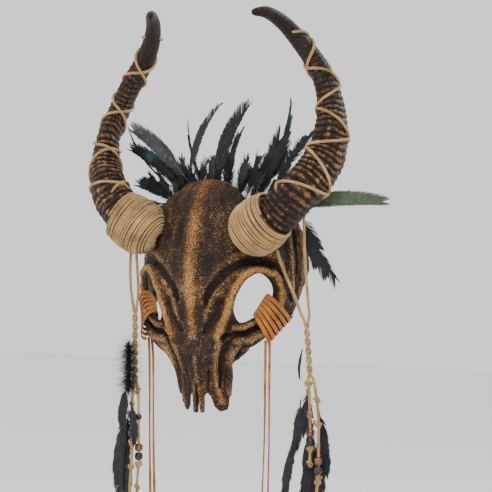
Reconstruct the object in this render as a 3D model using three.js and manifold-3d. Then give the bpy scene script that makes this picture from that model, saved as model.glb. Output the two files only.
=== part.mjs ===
// A horned animal-skull half-mask: a thin moulded skull face, two ridged horns bound on with
// jute twine, a crest of feathers, suede lacing round the cheek arches, and hanging laces and
// beaded twine tassels. Millimetres, +Z up, the face looks along -Y and +X is the wearer's left.
// The origin is the middle of the forehead pad's rear face, where the mask rests on a head.
import * as THREE from 'three';
import { mergeVertices } from 'three/addons/utils/BufferGeometryUtils.js';
import Module from 'manifold-3d';

const wasm = await Module();
wasm.setup();

// ---- driving dimensions -------------------------------------------------------------------
const CLEARANCE = 0.3;
const SHELL_THICKNESS = 4;
const SHELL_TOP = 72;
const SHELL_BOTTOM = -180;
const RIM_HEIGHT = 3;
const HORN_RIDGES = 16;
const WRAP = { middle: [73, -30, 21], axis: [0.82, -0.1, 0.52] };
const TWINE = 3.2;
const LACE_WIDTH = 2.8;
const LACE_THICKNESS = 1.4;
const STRAP_WIDTH = 20;
const STRAP_THICKNESS = 1.5;
const BEAD_RADIUS = 4.5;
const SMALL_BEAD_RADIUS = 3.4;
const BEAD_BORE = 2.2;
const FEATHER_THICKNESS = 0.8;
const FOREHEAD_PAD = { width: 76, height: 36, depth: 60, rounding: 8 };
const FEATHER_BAND = { low: 36, high: 50, reach: 0.5, thickness: 2 };

// Horizontal sections of the skull's outer surface, from the crown down to the nose tip:
// height, front, half width, depth back to the widest point, squareness of the curve, and how
// far the middle of the face stands forward of that curve.
const SECTIONS = [
  [72, -2, 60, 60, 2.2, 0],
  [46, -25, 74, 72, 2.3, 2],
  [22, -29, 82, 80, 2.5, 8],
  [-22, -36, 88, 85, 2.8, 10],
  [-57, -32, 88, 83, 3.0, 13],
  [-82, -29, 87, 70, 2.8, 13],
  [-95, -28, 80, 46, 2.8, 11],
  [-107, -28, 70, 30, 2.6, 9],
  [-124, -27, 42, 25, 2.4, 6],
  [-150, -25, 33, 25, 2.2, 5],
  [-180, -22, 29, 25, 2.2, 5],
];
const KEEL_SHARE = 0.7;

// Centre line of the wearer's left horn, root to tip, and the larger and smaller radius of its
// oval section at each point. The oval's long way runs outward and back.
const HORN_LINE = [
  [60, -26.5, 13], [66.5, -28.5, 17], [73, -29.5, 21], [94, -25, 35], [112, -20, 53.5],
  [127, -6, 75], [134.5, 6, 96], [136, 14.5, 118], [131.5, 25, 141], [123.6, 31.5, 164],
  [113, 35.5, 185], [101, 34.5, 203], [89, 27, 221], [79, 14, 236], [70, -5, 245.5],
  [61.5, -22, 245],
];
const HORN_RADII = [
  [19, 19], [22, 22], [23.5, 23.5], [22.2, 22.2], [22, 20.6], [23.6, 17.4], [23, 14.2], [20.6, 12],
  [17.8, 11.3], [14.6, 11.2], [11.8, 11.2], [10.8, 10.4], [9.6, 9.4], [8.4, 8], [6.6, 6.4],
  [3.6, 3.4],
];

// Radius and height of the wound twine along its axis, from the skull's side to the horn's.
const WRAP_PROFILE = [
  [0, -27], [16, -26], [25, -18.5], [29.4, -9], [30.6, 1], [29.8, 12], [28, 20], [26.6, 25],
  [0, 25],
];

// The eye opening's outline in the plane of the orbit: across (outward) and up, from its middle.
const EYE_OUTLINE = [
  [4.5, 25.7], [-8, 19.3], [-17, 5.4], [-20.5, -7.5], [-18, -19],
  [-11.4, -25.7], [4.5, -17], [16, -5.3], [20.5, 6.4], [16, 18],
];
const EYE_MIDDLE = [64, -20, -54.6];
const ORBIT_ACROSS = [0.67, 0.74, 0];

// ---- small helpers ------------------------------------------------------------------------
const vector = (p) => new THREE.Vector3(...p);
const route = (points) => new THREE.CatmullRomCurve3(points.map(vector), false, 'centripetal');

function mesh(name, geometry, look) {
  const made = new THREE.Mesh(geometry, new THREE.MeshStandardMaterial(look));
  made.name = name;
  return made;
}

function flipped(geometry) {
  const made = geometry.index ? geometry.toNonIndexed() : geometry.clone();
  made.applyMatrix4(new THREE.Matrix4().makeScale(-1, 1, 1));
  const position = made.getAttribute('position');
  for (let i = 0; i < position.count; i += 3) {
    const second = new THREE.Vector3().fromBufferAttribute(position, i + 1);
    const third = new THREE.Vector3().fromBufferAttribute(position, i + 2);
    position.setXYZ(i + 1, ...third);
    position.setXYZ(i + 2, ...second);
  }
  return mergeVertices(bare(made));
}

const onSide = (side, geometry) => (side > 0 ? geometry : flipped(geometry));

function bare(geometry) {
  geometry.deleteAttribute('normal');
  geometry.deleteAttribute('uv');
  return geometry;
}

function solid(geometry) {
  const merged = mergeVertices(bare(geometry.clone()), 1e-4);
  return new wasm.Manifold(
    new wasm.Mesh({
      numProp: 3,
      vertProperties: new Float32Array(merged.getAttribute('position').array),
      triVerts: new Uint32Array(merged.index.array),
    }),
  );
}

function shown(manifold) {
  const found = manifold.getMesh();
  const geometry = new THREE.BufferGeometry();
  geometry.setAttribute('position', new THREE.BufferAttribute(found.vertProperties, 3));
  geometry.setIndex(new THREE.BufferAttribute(found.triVerts, 1));
  geometry.computeVertexNormals();
  return geometry;
}

function deformed(geometry, move) {
  const position = geometry.getAttribute('position');
  const point = new THREE.Vector3();
  for (let i = 0; i < position.count; i += 1) {
    point.fromBufferAttribute(position, i);
    position.setXYZ(i, ...move(point));
  }
  return mergeVertices(bare(geometry), 1e-5);
}

// Smooth value of one column of a table whose first column falls from row to row.
function smoothAt(table, height, column) {
  const last = table.length - 1;
  let row = table.findIndex((r, k) => k < last && height >= table[k + 1][0]);
  row = row < 0 ? last - 1 : row;
  const slope = (k) => {
    const above = table[Math.max(k - 1, 0)];
    const below = table[Math.min(k + 1, last)];
    return (below[column] - above[column]) / (below[0] - above[0]);
  };
  const [a, b] = [table[row], table[row + 1]];
  const step = b[0] - a[0];
  const t = THREE.MathUtils.clamp((height - a[0]) / step, 0, 1);
  const [t2, t3] = [t * t, t * t * t];
  return (
    (2 * t3 - 3 * t2 + 1) * a[column] + (t3 - 2 * t2 + t) * step * slope(row)
    + (3 * t2 - 2 * t3) * b[column] + (t3 - t2) * step * slope(row + 1)
  );
}

// ---- the skull's surface ------------------------------------------------------------------
const FACE_SHARE = 0.8;
const TEMPLE_LENGTH = 60;
const SKIN_STEPS = 22;
const SKIN_ROWS = 20;

// A point of the skull's outer surface; across runs from -1 to 1, ear to ear round the front.
function skullSurface(across, height) {
  const [front, half, depth, square, keel] = [1, 2, 3, 4, 5].map(
    (column) => smoothAt(SECTIONS, height, column));
  const turn = Math.min(Math.abs(across) / FACE_SHARE, 1) * (Math.PI / 2);
  const past = Math.max(Math.abs(across) - FACE_SHARE, 0) / (1 - FACE_SHARE);
  const x = half * Math.sin(turn) ** (2 / square);
  const y = front + depth * (1 - Math.max(Math.cos(turn), 0) ** (2 / square))
    - keel * Math.max(1 - (x / (KEEL_SHARE * half)) ** 2, 0) ** 2;
  return new THREE.Vector3(Math.sign(across) * x, y + past * TEMPLE_LENGTH, height);
}

function skullNormal(across, height) {
  const small = 0.02;
  const side = Math.sign(across) || 1;
  const a = Math.max(Math.abs(across), small) * side;
  const along = skullSurface(a + small / 2, height).sub(skullSurface(a - small / 2, height));
  const up = skullSurface(a, height + 1).sub(skullSurface(a, height - 1));
  const normal = along.cross(up).normalize();
  return Math.abs(across) < small ? normal.setX(0).normalize() : normal;
}

const skullPoint = (across, height, outward) =>
  skullSurface(across, height).addScaledVector(skullNormal(across, height), outward);

function skullSkin(inner, outer, steps, rows) {
  const height = SHELL_TOP - SHELL_BOTTOM;
  const box = new THREE.BoxGeometry(2, 1, 1, steps, 1, rows);
  return deformed(box, (p) =>
    skullPoint(p.x, SHELL_BOTTOM + (p.z + 0.5) * height, p.y < 0 ? outer : inner));
}

// The whole skull filled in, grown by the clearance, for trimming what rests on it.
function skullBlock(grown) {
  const height = SHELL_TOP - SHELL_BOTTOM;
  const box = new THREE.BoxGeometry(2, 1, 1, SKIN_STEPS, 1, SKIN_ROWS);
  return deformed(box, (p) => {
    const z = SHELL_BOTTOM + (p.z + 0.5) * height;
    const face = skullPoint(p.x, z, grown);
    return p.y < 0 ? face : new THREE.Vector3(face.x * 0.2, 140, face.z);
  });
}

function extrudedAcross(outline, from, to) {
  const shape = new THREE.Shape(outline.map(([y, z]) => new THREE.Vector2(y, z)));
  const geometry = new THREE.ExtrudeGeometry(shape, { depth: to - from, bevelEnabled: false });
  const frame = new THREE.Matrix4().makeBasis(
    new THREE.Vector3(0, 1, 0), new THREE.Vector3(0, 0, 1), new THREE.Vector3(1, 0, 0));
  return geometry.applyMatrix4(frame.setPosition(from, 0, 0));
}

function extrudedBack(outline, from, to) {
  const shape = new THREE.Shape(outline.map(([x, z]) => new THREE.Vector2(x, z)));
  const geometry = new THREE.ExtrudeGeometry(shape, { depth: to - from, bevelEnabled: false });
  const frame = new THREE.Matrix4().makeBasis(
    new THREE.Vector3(1, 0, 0), new THREE.Vector3(0, 0, 1), new THREE.Vector3(0, -1, 0));
  return geometry.applyMatrix4(frame.setPosition(0, to, 0));
}

// A plug or a ring of the eye opening's outline, standing out along the orbit's own direction.
function eyePlug(side, scale, inward, outward, hole = 0) {
  const outline = (s) => new THREE.SplineCurve(
    [...EYE_OUTLINE, EYE_OUTLINE[0]].map(([a, b]) => new THREE.Vector2(a * s, b * s)),
  ).getPoints(18).slice(0, -1);
  const shape = new THREE.Shape(outline(scale));
  if (hole) shape.holes.push(new THREE.Path(outline(hole)));
  const depth = inward + outward;
  const geometry = new THREE.ExtrudeGeometry(shape, { depth, bevelEnabled: false });
  const across = vector(ORBIT_ACROSS).normalize();
  const up = new THREE.Vector3(0, 0, 1);
  const out = across.clone().cross(up);
  const start = vector(EYE_MIDDLE).addScaledVector(out, -inward);
  geometry.applyMatrix4(new THREE.Matrix4().makeBasis(across, up, out).setPosition(start));
  return onSide(side, geometry);
}

// Side outline of the mask: everything behind it is open for the head.
const SIDE_OUTLINE = [
  [-70, 71], [-70, -190], [-8, -190], [-8, -150], [-12, -124], [-18, -107], [-9, -96],
  [2, -90], [12, -83], [26, -71], [43, -50], [61, -27], [63, -10], [55, 14], [38, 38],
  [20, 58], [8, 71],
];

// Front outline of the nose's end: a split middle prong between two rounded side prongs.
const NOSE_HALF = [
  [-1, -190], [-1, -166], [0.6, -166], [1.6, -177], [4, -178], [6, -176], [6.5, -160],
  [9, -155.5], [12.5, -160], [15, -171], [20, -176.5], [26, -174.5], [31, -167], [42, -162], [42, -190],
];

// Front outline of the crown: the skull's top falls away to both sides of its middle.
const CROWN_HALF = [
  [-1, 90], [-1, 71], [12, 70], [22, 67], [32, 61.5], [42, 54], [50, 47], [58, 42], [90, 40],
  [90, 90],
];

function maskShell() {
  const rims = skullSkin(-1, RIM_HEIGHT, SKIN_STEPS, SKIN_ROWS);
  const rings = [1, -1].map((side) => solid(eyePlug(side, 1.32, 30, 30, 1.0)));
  const raised = rings.map((ring) => ring.intersect(solid(rims)));
  let shell = solid(skullSkin(-SHELL_THICKNESS, 0, SKIN_STEPS, SKIN_ROWS));
  shell = shell.intersect(solid(extrudedAcross(SIDE_OUTLINE, -120, 120)));
  shell = shell.add(raised[0]).add(raised[1]);
  for (const side of [1, -1]) {
    shell = shell.subtract(solid(eyePlug(side, 1, 40, 40)));
    shell = shell.subtract(solid(onSide(side, extrudedBack(NOSE_HALF, -70, 30))));
    shell = shell.subtract(solid(onSide(side, extrudedBack(CROWN_HALF, -70, 90))));
  }
  return shell;
}

// ---- tubes and bent pieces ----------------------------------------------------------------
function regular(sides, across, thick = across) {
  const corner = (k) => (2 * Math.PI * (k + 0.5)) / sides;
  const points = Array.from({ length: sides }, (_, k) =>
    new THREE.Vector2((thick / 2) * Math.cos(corner(k)), (across / 2) * Math.sin(corner(k))));
  return new THREE.Shape(points);
}

function tube(curve, across, steps, sides = 8, thick = across) {
  return new THREE.ExtrudeGeometry(regular(sides, across, thick), {
    steps, extrudePath: curve, bevelEnabled: false,
  });
}

// Frames along a curve that turn as little as they can, starting with one side towards side0.
function framesAlong(curve, rows, side0) {
  let side = vector(side0);
  return Array.from({ length: rows + 1 }, (_, k) => {
    const along = curve.getTangentAt(k / rows);
    side = side.clone().addScaledVector(along, -side.dot(along)).normalize();
    return { place: curve.getPointAt(k / rows), along, side, out: side.clone().cross(along) };
  });
}

const hornCurve = route(HORN_LINE);

function hornRadii(t) {
  const spot = curveShare(t) * (HORN_RADII.length - 1);
  const row = Math.min(Math.floor(spot), HORN_RADII.length - 2);
  return [0, 1].map((k) =>
    THREE.MathUtils.lerp(HORN_RADII[row][k], HORN_RADII[row + 1][k], spot - row));
}

// How far a point round the horn's oval lies from its centre line, from its unit direction.
function hornOffset(row, [wide, narrow], alongSide, alongOut) {
  const long = row.side.clone().add(row.out).normalize();
  const short = row.out.clone().sub(row.side).normalize();
  return long.multiplyScalar((wide * (alongSide + alongOut)) / Math.SQRT2)
    .addScaledVector(short, (narrow * (alongOut - alongSide)) / Math.SQRT2);
}

// The horn's radii are given at its points, and the curve is walked by length.
function curveShare(t) {
  return hornCurve.getUtoTmapping(t);
}

const HORN_ROWS = 48;
const RIDGE_DEPTH = 0.04;
const RIDGED_SHARE = 0.66;
const hornFrames = framesAlong(hornCurve, HORN_ROWS, [0, -1, 0]);

function horn(grown = 0) {
  const cylinder = new THREE.CylinderGeometry(1, 1, 1, 12, HORN_ROWS);
  return deformed(cylinder, (p) => {
    const t = p.y + 0.5;
    const row = hornFrames[Math.round(t * HORN_ROWS)];
    const wave = Math.cos((t / RIDGED_SHARE) * HORN_RIDGES * 2 * Math.PI);
    const ridge = 1 + (t < RIDGED_SHARE ? RIDGE_DEPTH * wave : 0);
    const radii = hornRadii(t).map((radius) => radius * ridge + grown);
    const start = row.place.clone().addScaledVector(row.along, t < 0.001 ? -2 * grown : 0);
    return start.add(hornOffset(row, radii, p.x, p.z));
  });
}

// A twine that climbs a horn, turning round it one way or the other.
const LASH_FROM = 0.17;
const LASH_TO = 0.84;
const LASH_TURNS = 4;
const LASH_LIFT = 3.4;
const LASH_PHASES = { forward: 0.4, backward: 2.1 };

function lashing(turning, phase) {
  const count = 40;
  const points = Array.from({ length: count + 1 }, (_, k) => {
    const t = LASH_FROM + ((LASH_TO - LASH_FROM) * k) / count;
    const row = hornFrames[Math.round(t * HORN_ROWS)];
    const place = hornCurve.getPointAt(t);
    const angle = phase + (turning * LASH_TURNS * 2 * Math.PI * k) / count;
    const radii = hornRadii(t).map((radius) => radius * 1.04 + LASH_LIFT);
    return place.add(hornOffset(row, radii, Math.cos(angle), Math.sin(angle))).toArray();
  });
  return tube(route(points), TWINE, 36, 6);
}

// ---- feathers -----------------------------------------------------------------------------
// A leaf on a thin quill, from base to tip, its flat side turned to the front as far as it can.
function feather(base, tip, width) {
  const [from, to] = [vector(base), vector(tip)];
  const length = from.distanceTo(to);
  const half = width / 2;
  const quill = 0.9;
  const outline = [
    [-quill, 0], [quill, 0], [quill, length * 0.14], [half * 0.7, length * 0.3],
    [half, length * 0.55], [half * 0.8, length * 0.8], [half * 0.3, length * 0.96], [0, length],
    [-half * 0.3, length * 0.96], [-half * 0.8, length * 0.8], [-half, length * 0.55],
    [-half * 0.7, length * 0.3], [-quill, length * 0.14],
  ];
  const shape = new THREE.Shape(outline.map(([x, y]) => new THREE.Vector2(x, y)));
  const geometry = new THREE.ExtrudeGeometry(shape, {
    depth: FEATHER_THICKNESS, bevelEnabled: false,
  });
  const along = to.clone().sub(from).normalize();
  const across = along.clone().cross(new THREE.Vector3(0, -1, 0)).normalize();
  const out = across.clone().cross(along);
  return geometry.applyMatrix4(new THREE.Matrix4().makeBasis(across, along, out).setPosition(from));
}

// Name, base, tip and width of each feather of the crest and the temples.
const CREST = [
  ['crest_pointed', [-33, 9.8, 64], [10, 9.8, 152], 12],
  ['crest_grey', [-34, 13.2, 66], [-103, 13.2, 123], 19],
  ['crest_broad', [-2, 15, 58], [39, 15, 150], 15],
  ['crest_teal', [-44, 17.6, 60], [-108, 17.6, 102], 17],
  ['crest_middle', [8, 19.2, 56], [31, 19.2, 126], 13],
  ['crest_quill_long', [-60, 21, 62], [-116, 21, 130], 6],
  ['crest_curled', [46, 22.4, 58], [84, 22.4, 158], 9],
  ['crest_quill_short', [-20, 23.8, 60], [-41, 23.8, 138], 6],
  ['crest_silver', [-20, 26.5, 60], [-74, 26.5, 84], 14],
  ['crest_forked', [60, 29, 54], [110, 29, 121], 14],
  ['crest_low', [-58, 31, 48], [-106, 31, 64], 17],
  ['crest_dark', [40, 31.5, 54], [66, 31.5, 112], 26],
  ['temple_green_left', [72, 40, 44], [160, 92, 46], 17],
  ['temple_dark_right', [-72, 41, 44], [-165, 61, 29], 14],
  ['temple_drooping_left', [86, 50, 36], [112, 76, -36], 20],
  ['temple_drooping_right', [-86, 50, 36], [-112, 76, -36], 20],
];

// ---- hanging twines and laces -------------------------------------------------------------
const STRAND_APART = 1.8;
const TWIST_PITCH = 18.7;
const TWIST_STEP = 2.8;
const TWINE_STEPS = 100;

// The points of one strand where two are twisted round each other, from one height to another.
function twisted(place, from, to, phase) {
  const count = Math.round((from - to) / TWIST_STEP);
  return Array.from({ length: count + 1 }, (_, k) => {
    const z = from + ((to - from) * k) / count;
    const angle = phase + (2 * Math.PI * (from - z)) / TWIST_PITCH;
    const [x, y] = place(z);
    return [x + STRAND_APART * Math.cos(angle), y + STRAND_APART * Math.sin(angle), z];
  });
}

const rightRope = () => [-79.5, -25];
const leftRope = (z) => [116 + (-86 - z) * 0.075, -2.2];

const TWINES = {
  twine_right_outer: [
    [-84, -26.5, -14], [-84.5, -26.5, -28], [-84, -26, -46], [-82.5, -25.5, -60],
    ...twisted(rightRope, -68, -146, Math.PI),
    [-80.5, -28, -160], [-81, -29, -172], [-81, -29, -183], [-81, -29, -204],
    [-81.5, -28.5, -216], [-82, -28, -232], [-84, -27.5, -250], [-85, -27.5, -270], [-85, -27.5, -296],
  ],
  twine_right_inner: [
    [-78, -24, -14], [-77, -24, -28], [-76, -24, -46], [-76.5, -24.5, -60],
    ...twisted(rightRope, -68, -146, 0),
    [-77.4, -22, -160], [-77.4, -21, -172], [-77.4, -21, -184], [-77.4, -21, -204],
    [-77.4, -21, -218], [-77.4, -21, -232], [-78, -21.5, -244], [-79, -22, -258], [-79.4, -22, -272],
    [-79.4, -22, -292],
  ],
  twine_left_slack: [
    [88, -16, -4], [91.4, -14.5, -17], [98, -12, -34], [106.5, -8.5, -56], [110.5, -5.5, -70],
    ...twisted(leftRope, -80, -136, Math.PI),
    [117.5, -1.8, -142], [118.5, -1.5, -154], [119, -1.5, -170], [119.5, -1.5, -194], [119.5, -1.5, -204],
    [119.5, -1.5, -214], [119, -1.5, -228],
  ],
  twine_left_long: [
    [113, -4, 34], [113.5, -4, 18], [114, -3.8, -4], [115.5, -3.4, -30], [117.5, -2.8, -56],
    [118.8, -2.4, -72],
    ...twisted(leftRope, -80, -136, 0),
    [124.5, -2.4, -142], [126.5, -2.4, -153], [128.5, -2.4, -166], [129.5, -2.4, -186],
    [129.7, -2.4, -206], [129.7, -2.4, -226], [129.7, -2.4, -242], [128, -2.4, -252],
    [126.5, -2.4, -266], [126.5, -2.4, -292],
  ],
};

const LACES = {
  lace_left_front: [
    [71.4, -10, -103.5], [71.2, -10.2, -116], [71, -10.3, -140], [70.6, -10.3, -180],
    [69.4, -10.3, -220], [67.5, -10.3, -262], [66.5, -10.3, -300],
  ],
  lace_left_rear: [
    [75, -8, -105], [75, -7.8, -118], [74.6, -7.7, -140], [74.4, -7.7, -180],
    [74, -7.7, -220], [73, -7.7, -262], [72.5, -7.7, -298],
  ],
  lace_right_front: [
    [-71.2, -10, -104.5], [-70.2, -10.2, -118], [-69.8, -10.3, -140], [-69.8, -10.3, -180],
    [-69.8, -10.3, -220], [-69.4, -10.3, -262], [-69, -10.3, -302],
  ],
  lace_right_rear: [
    [-69, -7, -105], [-67.4, -7.3, -118], [-66.8, -7.6, -140], [-66.8, -7.7, -180],
    [-66.6, -7.7, -220], [-65.8, -7.7, -262], [-65.2, -7.7, -296],
  ],
};

// Name, radius and place of each bead on its twine.
const BEADS = [
  ['bead_right_copper', BEAD_RADIUS, [-81, -29, -183]],
  ['bead_right_gunmetal', BEAD_RADIUS, [-81, -29, -203]],
  ['bead_right_small', SMALL_BEAD_RADIUS, [-77.4, -21, -186]],
  ['bead_right_low_copper', BEAD_RADIUS, [-77.4, -21, -219]],
  ['bead_right_low_gunmetal', BEAD_RADIUS, [-77.4, -21, -228.6]],
  ['bead_left_copper', BEAD_RADIUS, [119.5, -1.5, -194.7]],
  ['bead_left_gunmetal', BEAD_RADIUS, [119.5, -1.5, -204.3]],
  ['bead_left_low_copper', BEAD_RADIUS, [129.7, -2.4, -224]],
  ['bead_left_low_gunmetal', BEAD_RADIUS, [129.7, -2.4, -233.6]],
];

const TASSEL_FEATHERS = [
  ['marabou_right', [-83, -31.8, -106], [-85, -31.8, -160], 20],
  ['long_feather_right', [-88.5, -24.5, -172], [-95, -24.5, -290], 16],
  ['short_feather_left', [112.5, 4.6, -150], [111, 4.6, -196], 16],
  ['long_feather_left', [113.5, -9.5, -186], [97, -9.5, -292], 11],
  ['dark_feather_left', [124.6, 8.6, -198], [127, 8.6, -288], 22],
];

// A bead turned from metal: a barrel with a bore, its axis along the twine.
function bead(radius) {
  const half = radius * 0.86;
  const profile = [
    [BEAD_BORE, -half], [radius * 0.72, -half], [radius, -half * 0.35], [radius, half * 0.35],
    [radius * 0.72, half], [BEAD_BORE, half], [BEAD_BORE, -half],
  ].map(([r, z]) => new THREE.Vector2(r, z));
  return new THREE.LatheGeometry(profile, 12).rotateX(Math.PI / 2);
}

// ---- fittings -----------------------------------------------------------------------------
// A pad moulded to the inside of the mask: rounded edges, and a flat face against the head.
function pad({ width, height, depth, rounding }) {
  const shape = new THREE.Shape();
  const [w, h, r] = [width / 2 - rounding, height / 2 - rounding, rounding];
  shape.absarc(w, h, r, 0, Math.PI / 2).absarc(-w, h, r, Math.PI / 2, Math.PI)
    .absarc(-w, -h, r, Math.PI, Math.PI * 1.5).absarc(w, -h, r, Math.PI * 1.5, Math.PI * 2);
  const geometry = new THREE.ExtrudeGeometry(shape, {
    depth, bevelEnabled: false, curveSegments: 4,
  });
  return geometry.rotateX(Math.PI / 2);
}

// Turned pieces point along +Z: a shank with its head behind it, or a flat ring.
function turned(profile, segments = 14) {
  return new THREE.LatheGeometry(profile.map(([r, z]) => new THREE.Vector2(r, z)), segments)
    .rotateX(Math.PI / 2);
}

function placed(geometry, place, direction) {
  const turn = new THREE.Quaternion()
    .setFromUnitVectors(new THREE.Vector3(0, 0, 1), direction.clone().normalize());
  return geometry.clone().applyQuaternion(turn).translate(...place);
}

const SCREW_ACROSS = 0.375;
const SCREW_HEIGHT = 11;
const SCREW_SHANK = 2;
const SCREW_LENGTH = 18;
const WASHER_RADIUS = 7;
const WASHER_THICKNESS = 1.2;
const RIVET_BACK = 44;
const RIVET_HEIGHT = -12;
const RIVET_GRIP = 12;
const BORE_SLACK = 0.4;
const HORN_CLEARANCE = 4 * CLEARANCE;
const RIVET_SHANK = 1.8;

const screwNormal = skullNormal(SCREW_ACROSS, SCREW_HEIGHT);
const screwSeat = skullPoint(SCREW_ACROSS, SCREW_HEIGHT, -SHELL_THICKNESS - 2.1);

const screwShape = () => turned([
  [0, -3.4], [2.6, -3.4], [4, -2.2], [4, -0.2], [SCREW_SHANK, -0.2],
  [SCREW_SHANK, SCREW_LENGTH], [0, SCREW_LENGTH + 2],
]);
const washerShape = () => turned([
  [SCREW_SHANK + BORE_SLACK, 0.1], [WASHER_RADIUS, 0.1], [WASHER_RADIUS, WASHER_THICKNESS],
  [SCREW_SHANK + BORE_SLACK, WASHER_THICKNESS], [SCREW_SHANK + BORE_SLACK, 0.1],
]);
const boreShape = (radius, from, to) =>
  turned([[0, from], [radius, from], [radius, to], [0, to]]);

// The strap's seat on the temple plate, and the rivet through both.
const templeOutside = smoothAt(SECTIONS, RIVET_HEIGHT, 2);
const rivetShape = () => turned([
  [0, -9.8], [4, -9.8], [4, -8.8], [RIVET_SHANK, -8.8], [RIVET_SHANK, 0.3], [4.4, 0.3],
  [2.6, 1.9], [0, 2.4],
]);

function strap() {
  const inside = templeOutside - SHELL_THICKNESS - 2.8;
  const half = [[inside, 34], [inside, 54], [inside - 8, 78], [inside - 30, 100]];
  const other = half.map(([x, y]) => [-x, y]).reverse();
  const curve = route([...half, [0, 108], ...other].map(([x, y]) => [x, y, RIVET_HEIGHT]));
  const rows = 30;
  const frames = framesAlong(curve, rows, [0, 0, 1]);
  const box = new THREE.BoxGeometry(1, 1, 1, 1, rows, 1);
  return deformed(box, (p) => {
    const row = frames[Math.round((p.y + 0.5) * rows)];
    return row.place.clone().addScaledVector(row.side, p.x * STRAP_WIDTH)
      .addScaledVector(row.out, p.z * STRAP_THICKNESS);
  });
}

// A felt strip behind the crown, which the crest is stitched to.
function featherBand() {
  const { low, high, reach, thickness } = FEATHER_BAND;
  const front = -SHELL_THICKNESS - CLEARANCE - 1.1;
  const box = new THREE.BoxGeometry(1, 1, 1, 16, 1, 2);
  return deformed(box, (p) => skullPoint(
    p.x * reach, low + (p.z + 0.5) * (high - low), front - (p.y + 0.5) * thickness));
}

// Suede wound round the cheek arch, through the eye opening and under the lower edge.
const ARCH_FROM = { middle: [67.8, -13.3, -87.5], reach: [7.5, 4.7, -15], out: [5.7, -7, -1.4] };
const ARCH_TO = { middle: [80.8, 4.7, -63], reach: [6, 18, -14], out: [7.2, -5.4, 0.9] };
const ARCH_SQUARENESS = 0.8;

function archLacing() {
  const [turns, count] = [6, 66];
  const points = Array.from({ length: count + 1 }, (_, k) => {
    const t = k / count;
    const mix = (key) => vector(ARCH_FROM[key]).lerp(vector(ARCH_TO[key]), t);
    const angle = turns * 2 * Math.PI * t;
    const squared = (value) => Math.sign(value) * Math.abs(value) ** ARCH_SQUARENESS;
    return mix('middle').addScaledVector(mix('reach'), squared(Math.cos(angle)))
      .addScaledVector(mix('out'), squared(Math.sin(angle))).toArray();
  });
  return tube(route(points), LACE_WIDTH, 72, 4, LACE_THICKNESS);
}

// ---- the assembly -------------------------------------------------------------------------
const LOOKS = {
  skull: { color: 0x4a3220, roughness: 0.5, metalness: 0.35 },
  horn: { color: 0x7a4d20, roughness: 0.45, metalness: 0.35 },
  jute: { color: 0xc8ab7c, roughness: 0.95, metalness: 0 },
  suede: { color: 0xb5672b, roughness: 0.9, metalness: 0 },
  feather: { color: 0x17171a, roughness: 0.6, metalness: 0 },
  green: { color: 0x5a6b52, roughness: 0.5, metalness: 0 },
  copper: { color: 0x8c5a45, roughness: 0.35, metalness: 0.9 },
  gunmetal: { color: 0x3a3d42, roughness: 0.35, metalness: 0.9 },
  foam: { color: 0x26221f, roughness: 0.95, metalness: 0 },
  steel: { color: 0x8e9094, roughness: 0.4, metalness: 0.9 },
  elastic: { color: 0x151515, roughness: 0.9, metalness: 0 },
};

const mask = new THREE.Group();
const SIDES = [['left', 1], ['right', -1]];

const hornSolid = solid(horn());
const hornGrown = solid(horn(HORN_CLEARANCE));
const block = solid(skullBlock(CLEARANCE));
const screwAt = (geometry) => solid(placed(geometry, screwSeat, screwNormal));
const rivetAt = (geometry) => placed(
  geometry, [templeOutside, RIVET_BACK, RIVET_HEIGHT], new THREE.Vector3(1, 0, 0));
const rivetBore = () => rivetAt(boreShape(RIVET_SHANK + BORE_SLACK, -RIVET_GRIP, RIVET_GRIP / 2));

let shell = maskShell();
for (const [, side] of SIDES) {
  const screwBore = placed(boreShape(SCREW_SHANK + BORE_SLACK, -2, 12), screwSeat, screwNormal);
  shell = shell.subtract(solid(onSide(side, screwBore)));
  shell = shell.subtract(solid(onSide(side, rivetBore())));
}
mask.add(mesh('mask_shell', shown(shell), LOOKS.skull));

const wrapTurn = new THREE.Quaternion()
  .setFromUnitVectors(new THREE.Vector3(0, 1, 0), vector(WRAP.axis).normalize());
const windings = new THREE.LatheGeometry(
  WRAP_PROFILE.map(([radius, height]) => new THREE.Vector2(radius, height)), 24)
  .applyQuaternion(wrapTurn).translate(...WRAP.middle);
const screwTunnel = screwAt(boreShape(SCREW_SHANK + CLEARANCE, 0, SCREW_LENGTH + 3));
const hornCut = hornSolid.subtract(block).subtract(screwTunnel);
const wrapCut = solid(windings).subtract(hornGrown).subtract(block).subtract(screwTunnel);
const lashed = solid(lashing(1, LASH_PHASES.forward)).add(solid(lashing(-1, LASH_PHASES.backward)));

let strapCut = solid(strap());
for (const [word, side] of SIDES) {
  mask.add(mesh(`horn_${word}`, onSide(side, shown(hornCut)), LOOKS.horn));
  mask.add(mesh(`horn_wrap_${word}`, onSide(side, shown(wrapCut)), LOOKS.jute));
  mask.add(mesh(`horn_lashing_${word}`, onSide(side, shown(lashed)), LOOKS.jute));
  mask.add(mesh(`cheek_lacing_${word}`, onSide(side, archLacing()), LOOKS.suede));
  mask.add(mesh(`horn_screw_${word}`,
    onSide(side, placed(screwShape(), screwSeat, screwNormal)), LOOKS.steel));
  mask.add(mesh(`horn_washer_${word}`,
    onSide(side, placed(washerShape(), screwSeat, screwNormal)), LOOKS.steel));
  mask.add(mesh(`strap_rivet_${word}`, onSide(side, rivetAt(rivetShape())), LOOKS.steel));
  strapCut = strapCut.subtract(solid(onSide(side, rivetBore())));
}
mask.add(mesh('elastic_strap', shown(strapCut), LOOKS.elastic));
mask.add(mesh('feather_band', featherBand(), LOOKS.elastic));

const padBlock = solid(skullBlock(-SHELL_THICKNESS - 2 * CLEARANCE));
const forehead = solid(pad(FOREHEAD_PAD)).intersect(padBlock);
mask.add(mesh('forehead_pad', shown(forehead), LOOKS.foam));

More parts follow.
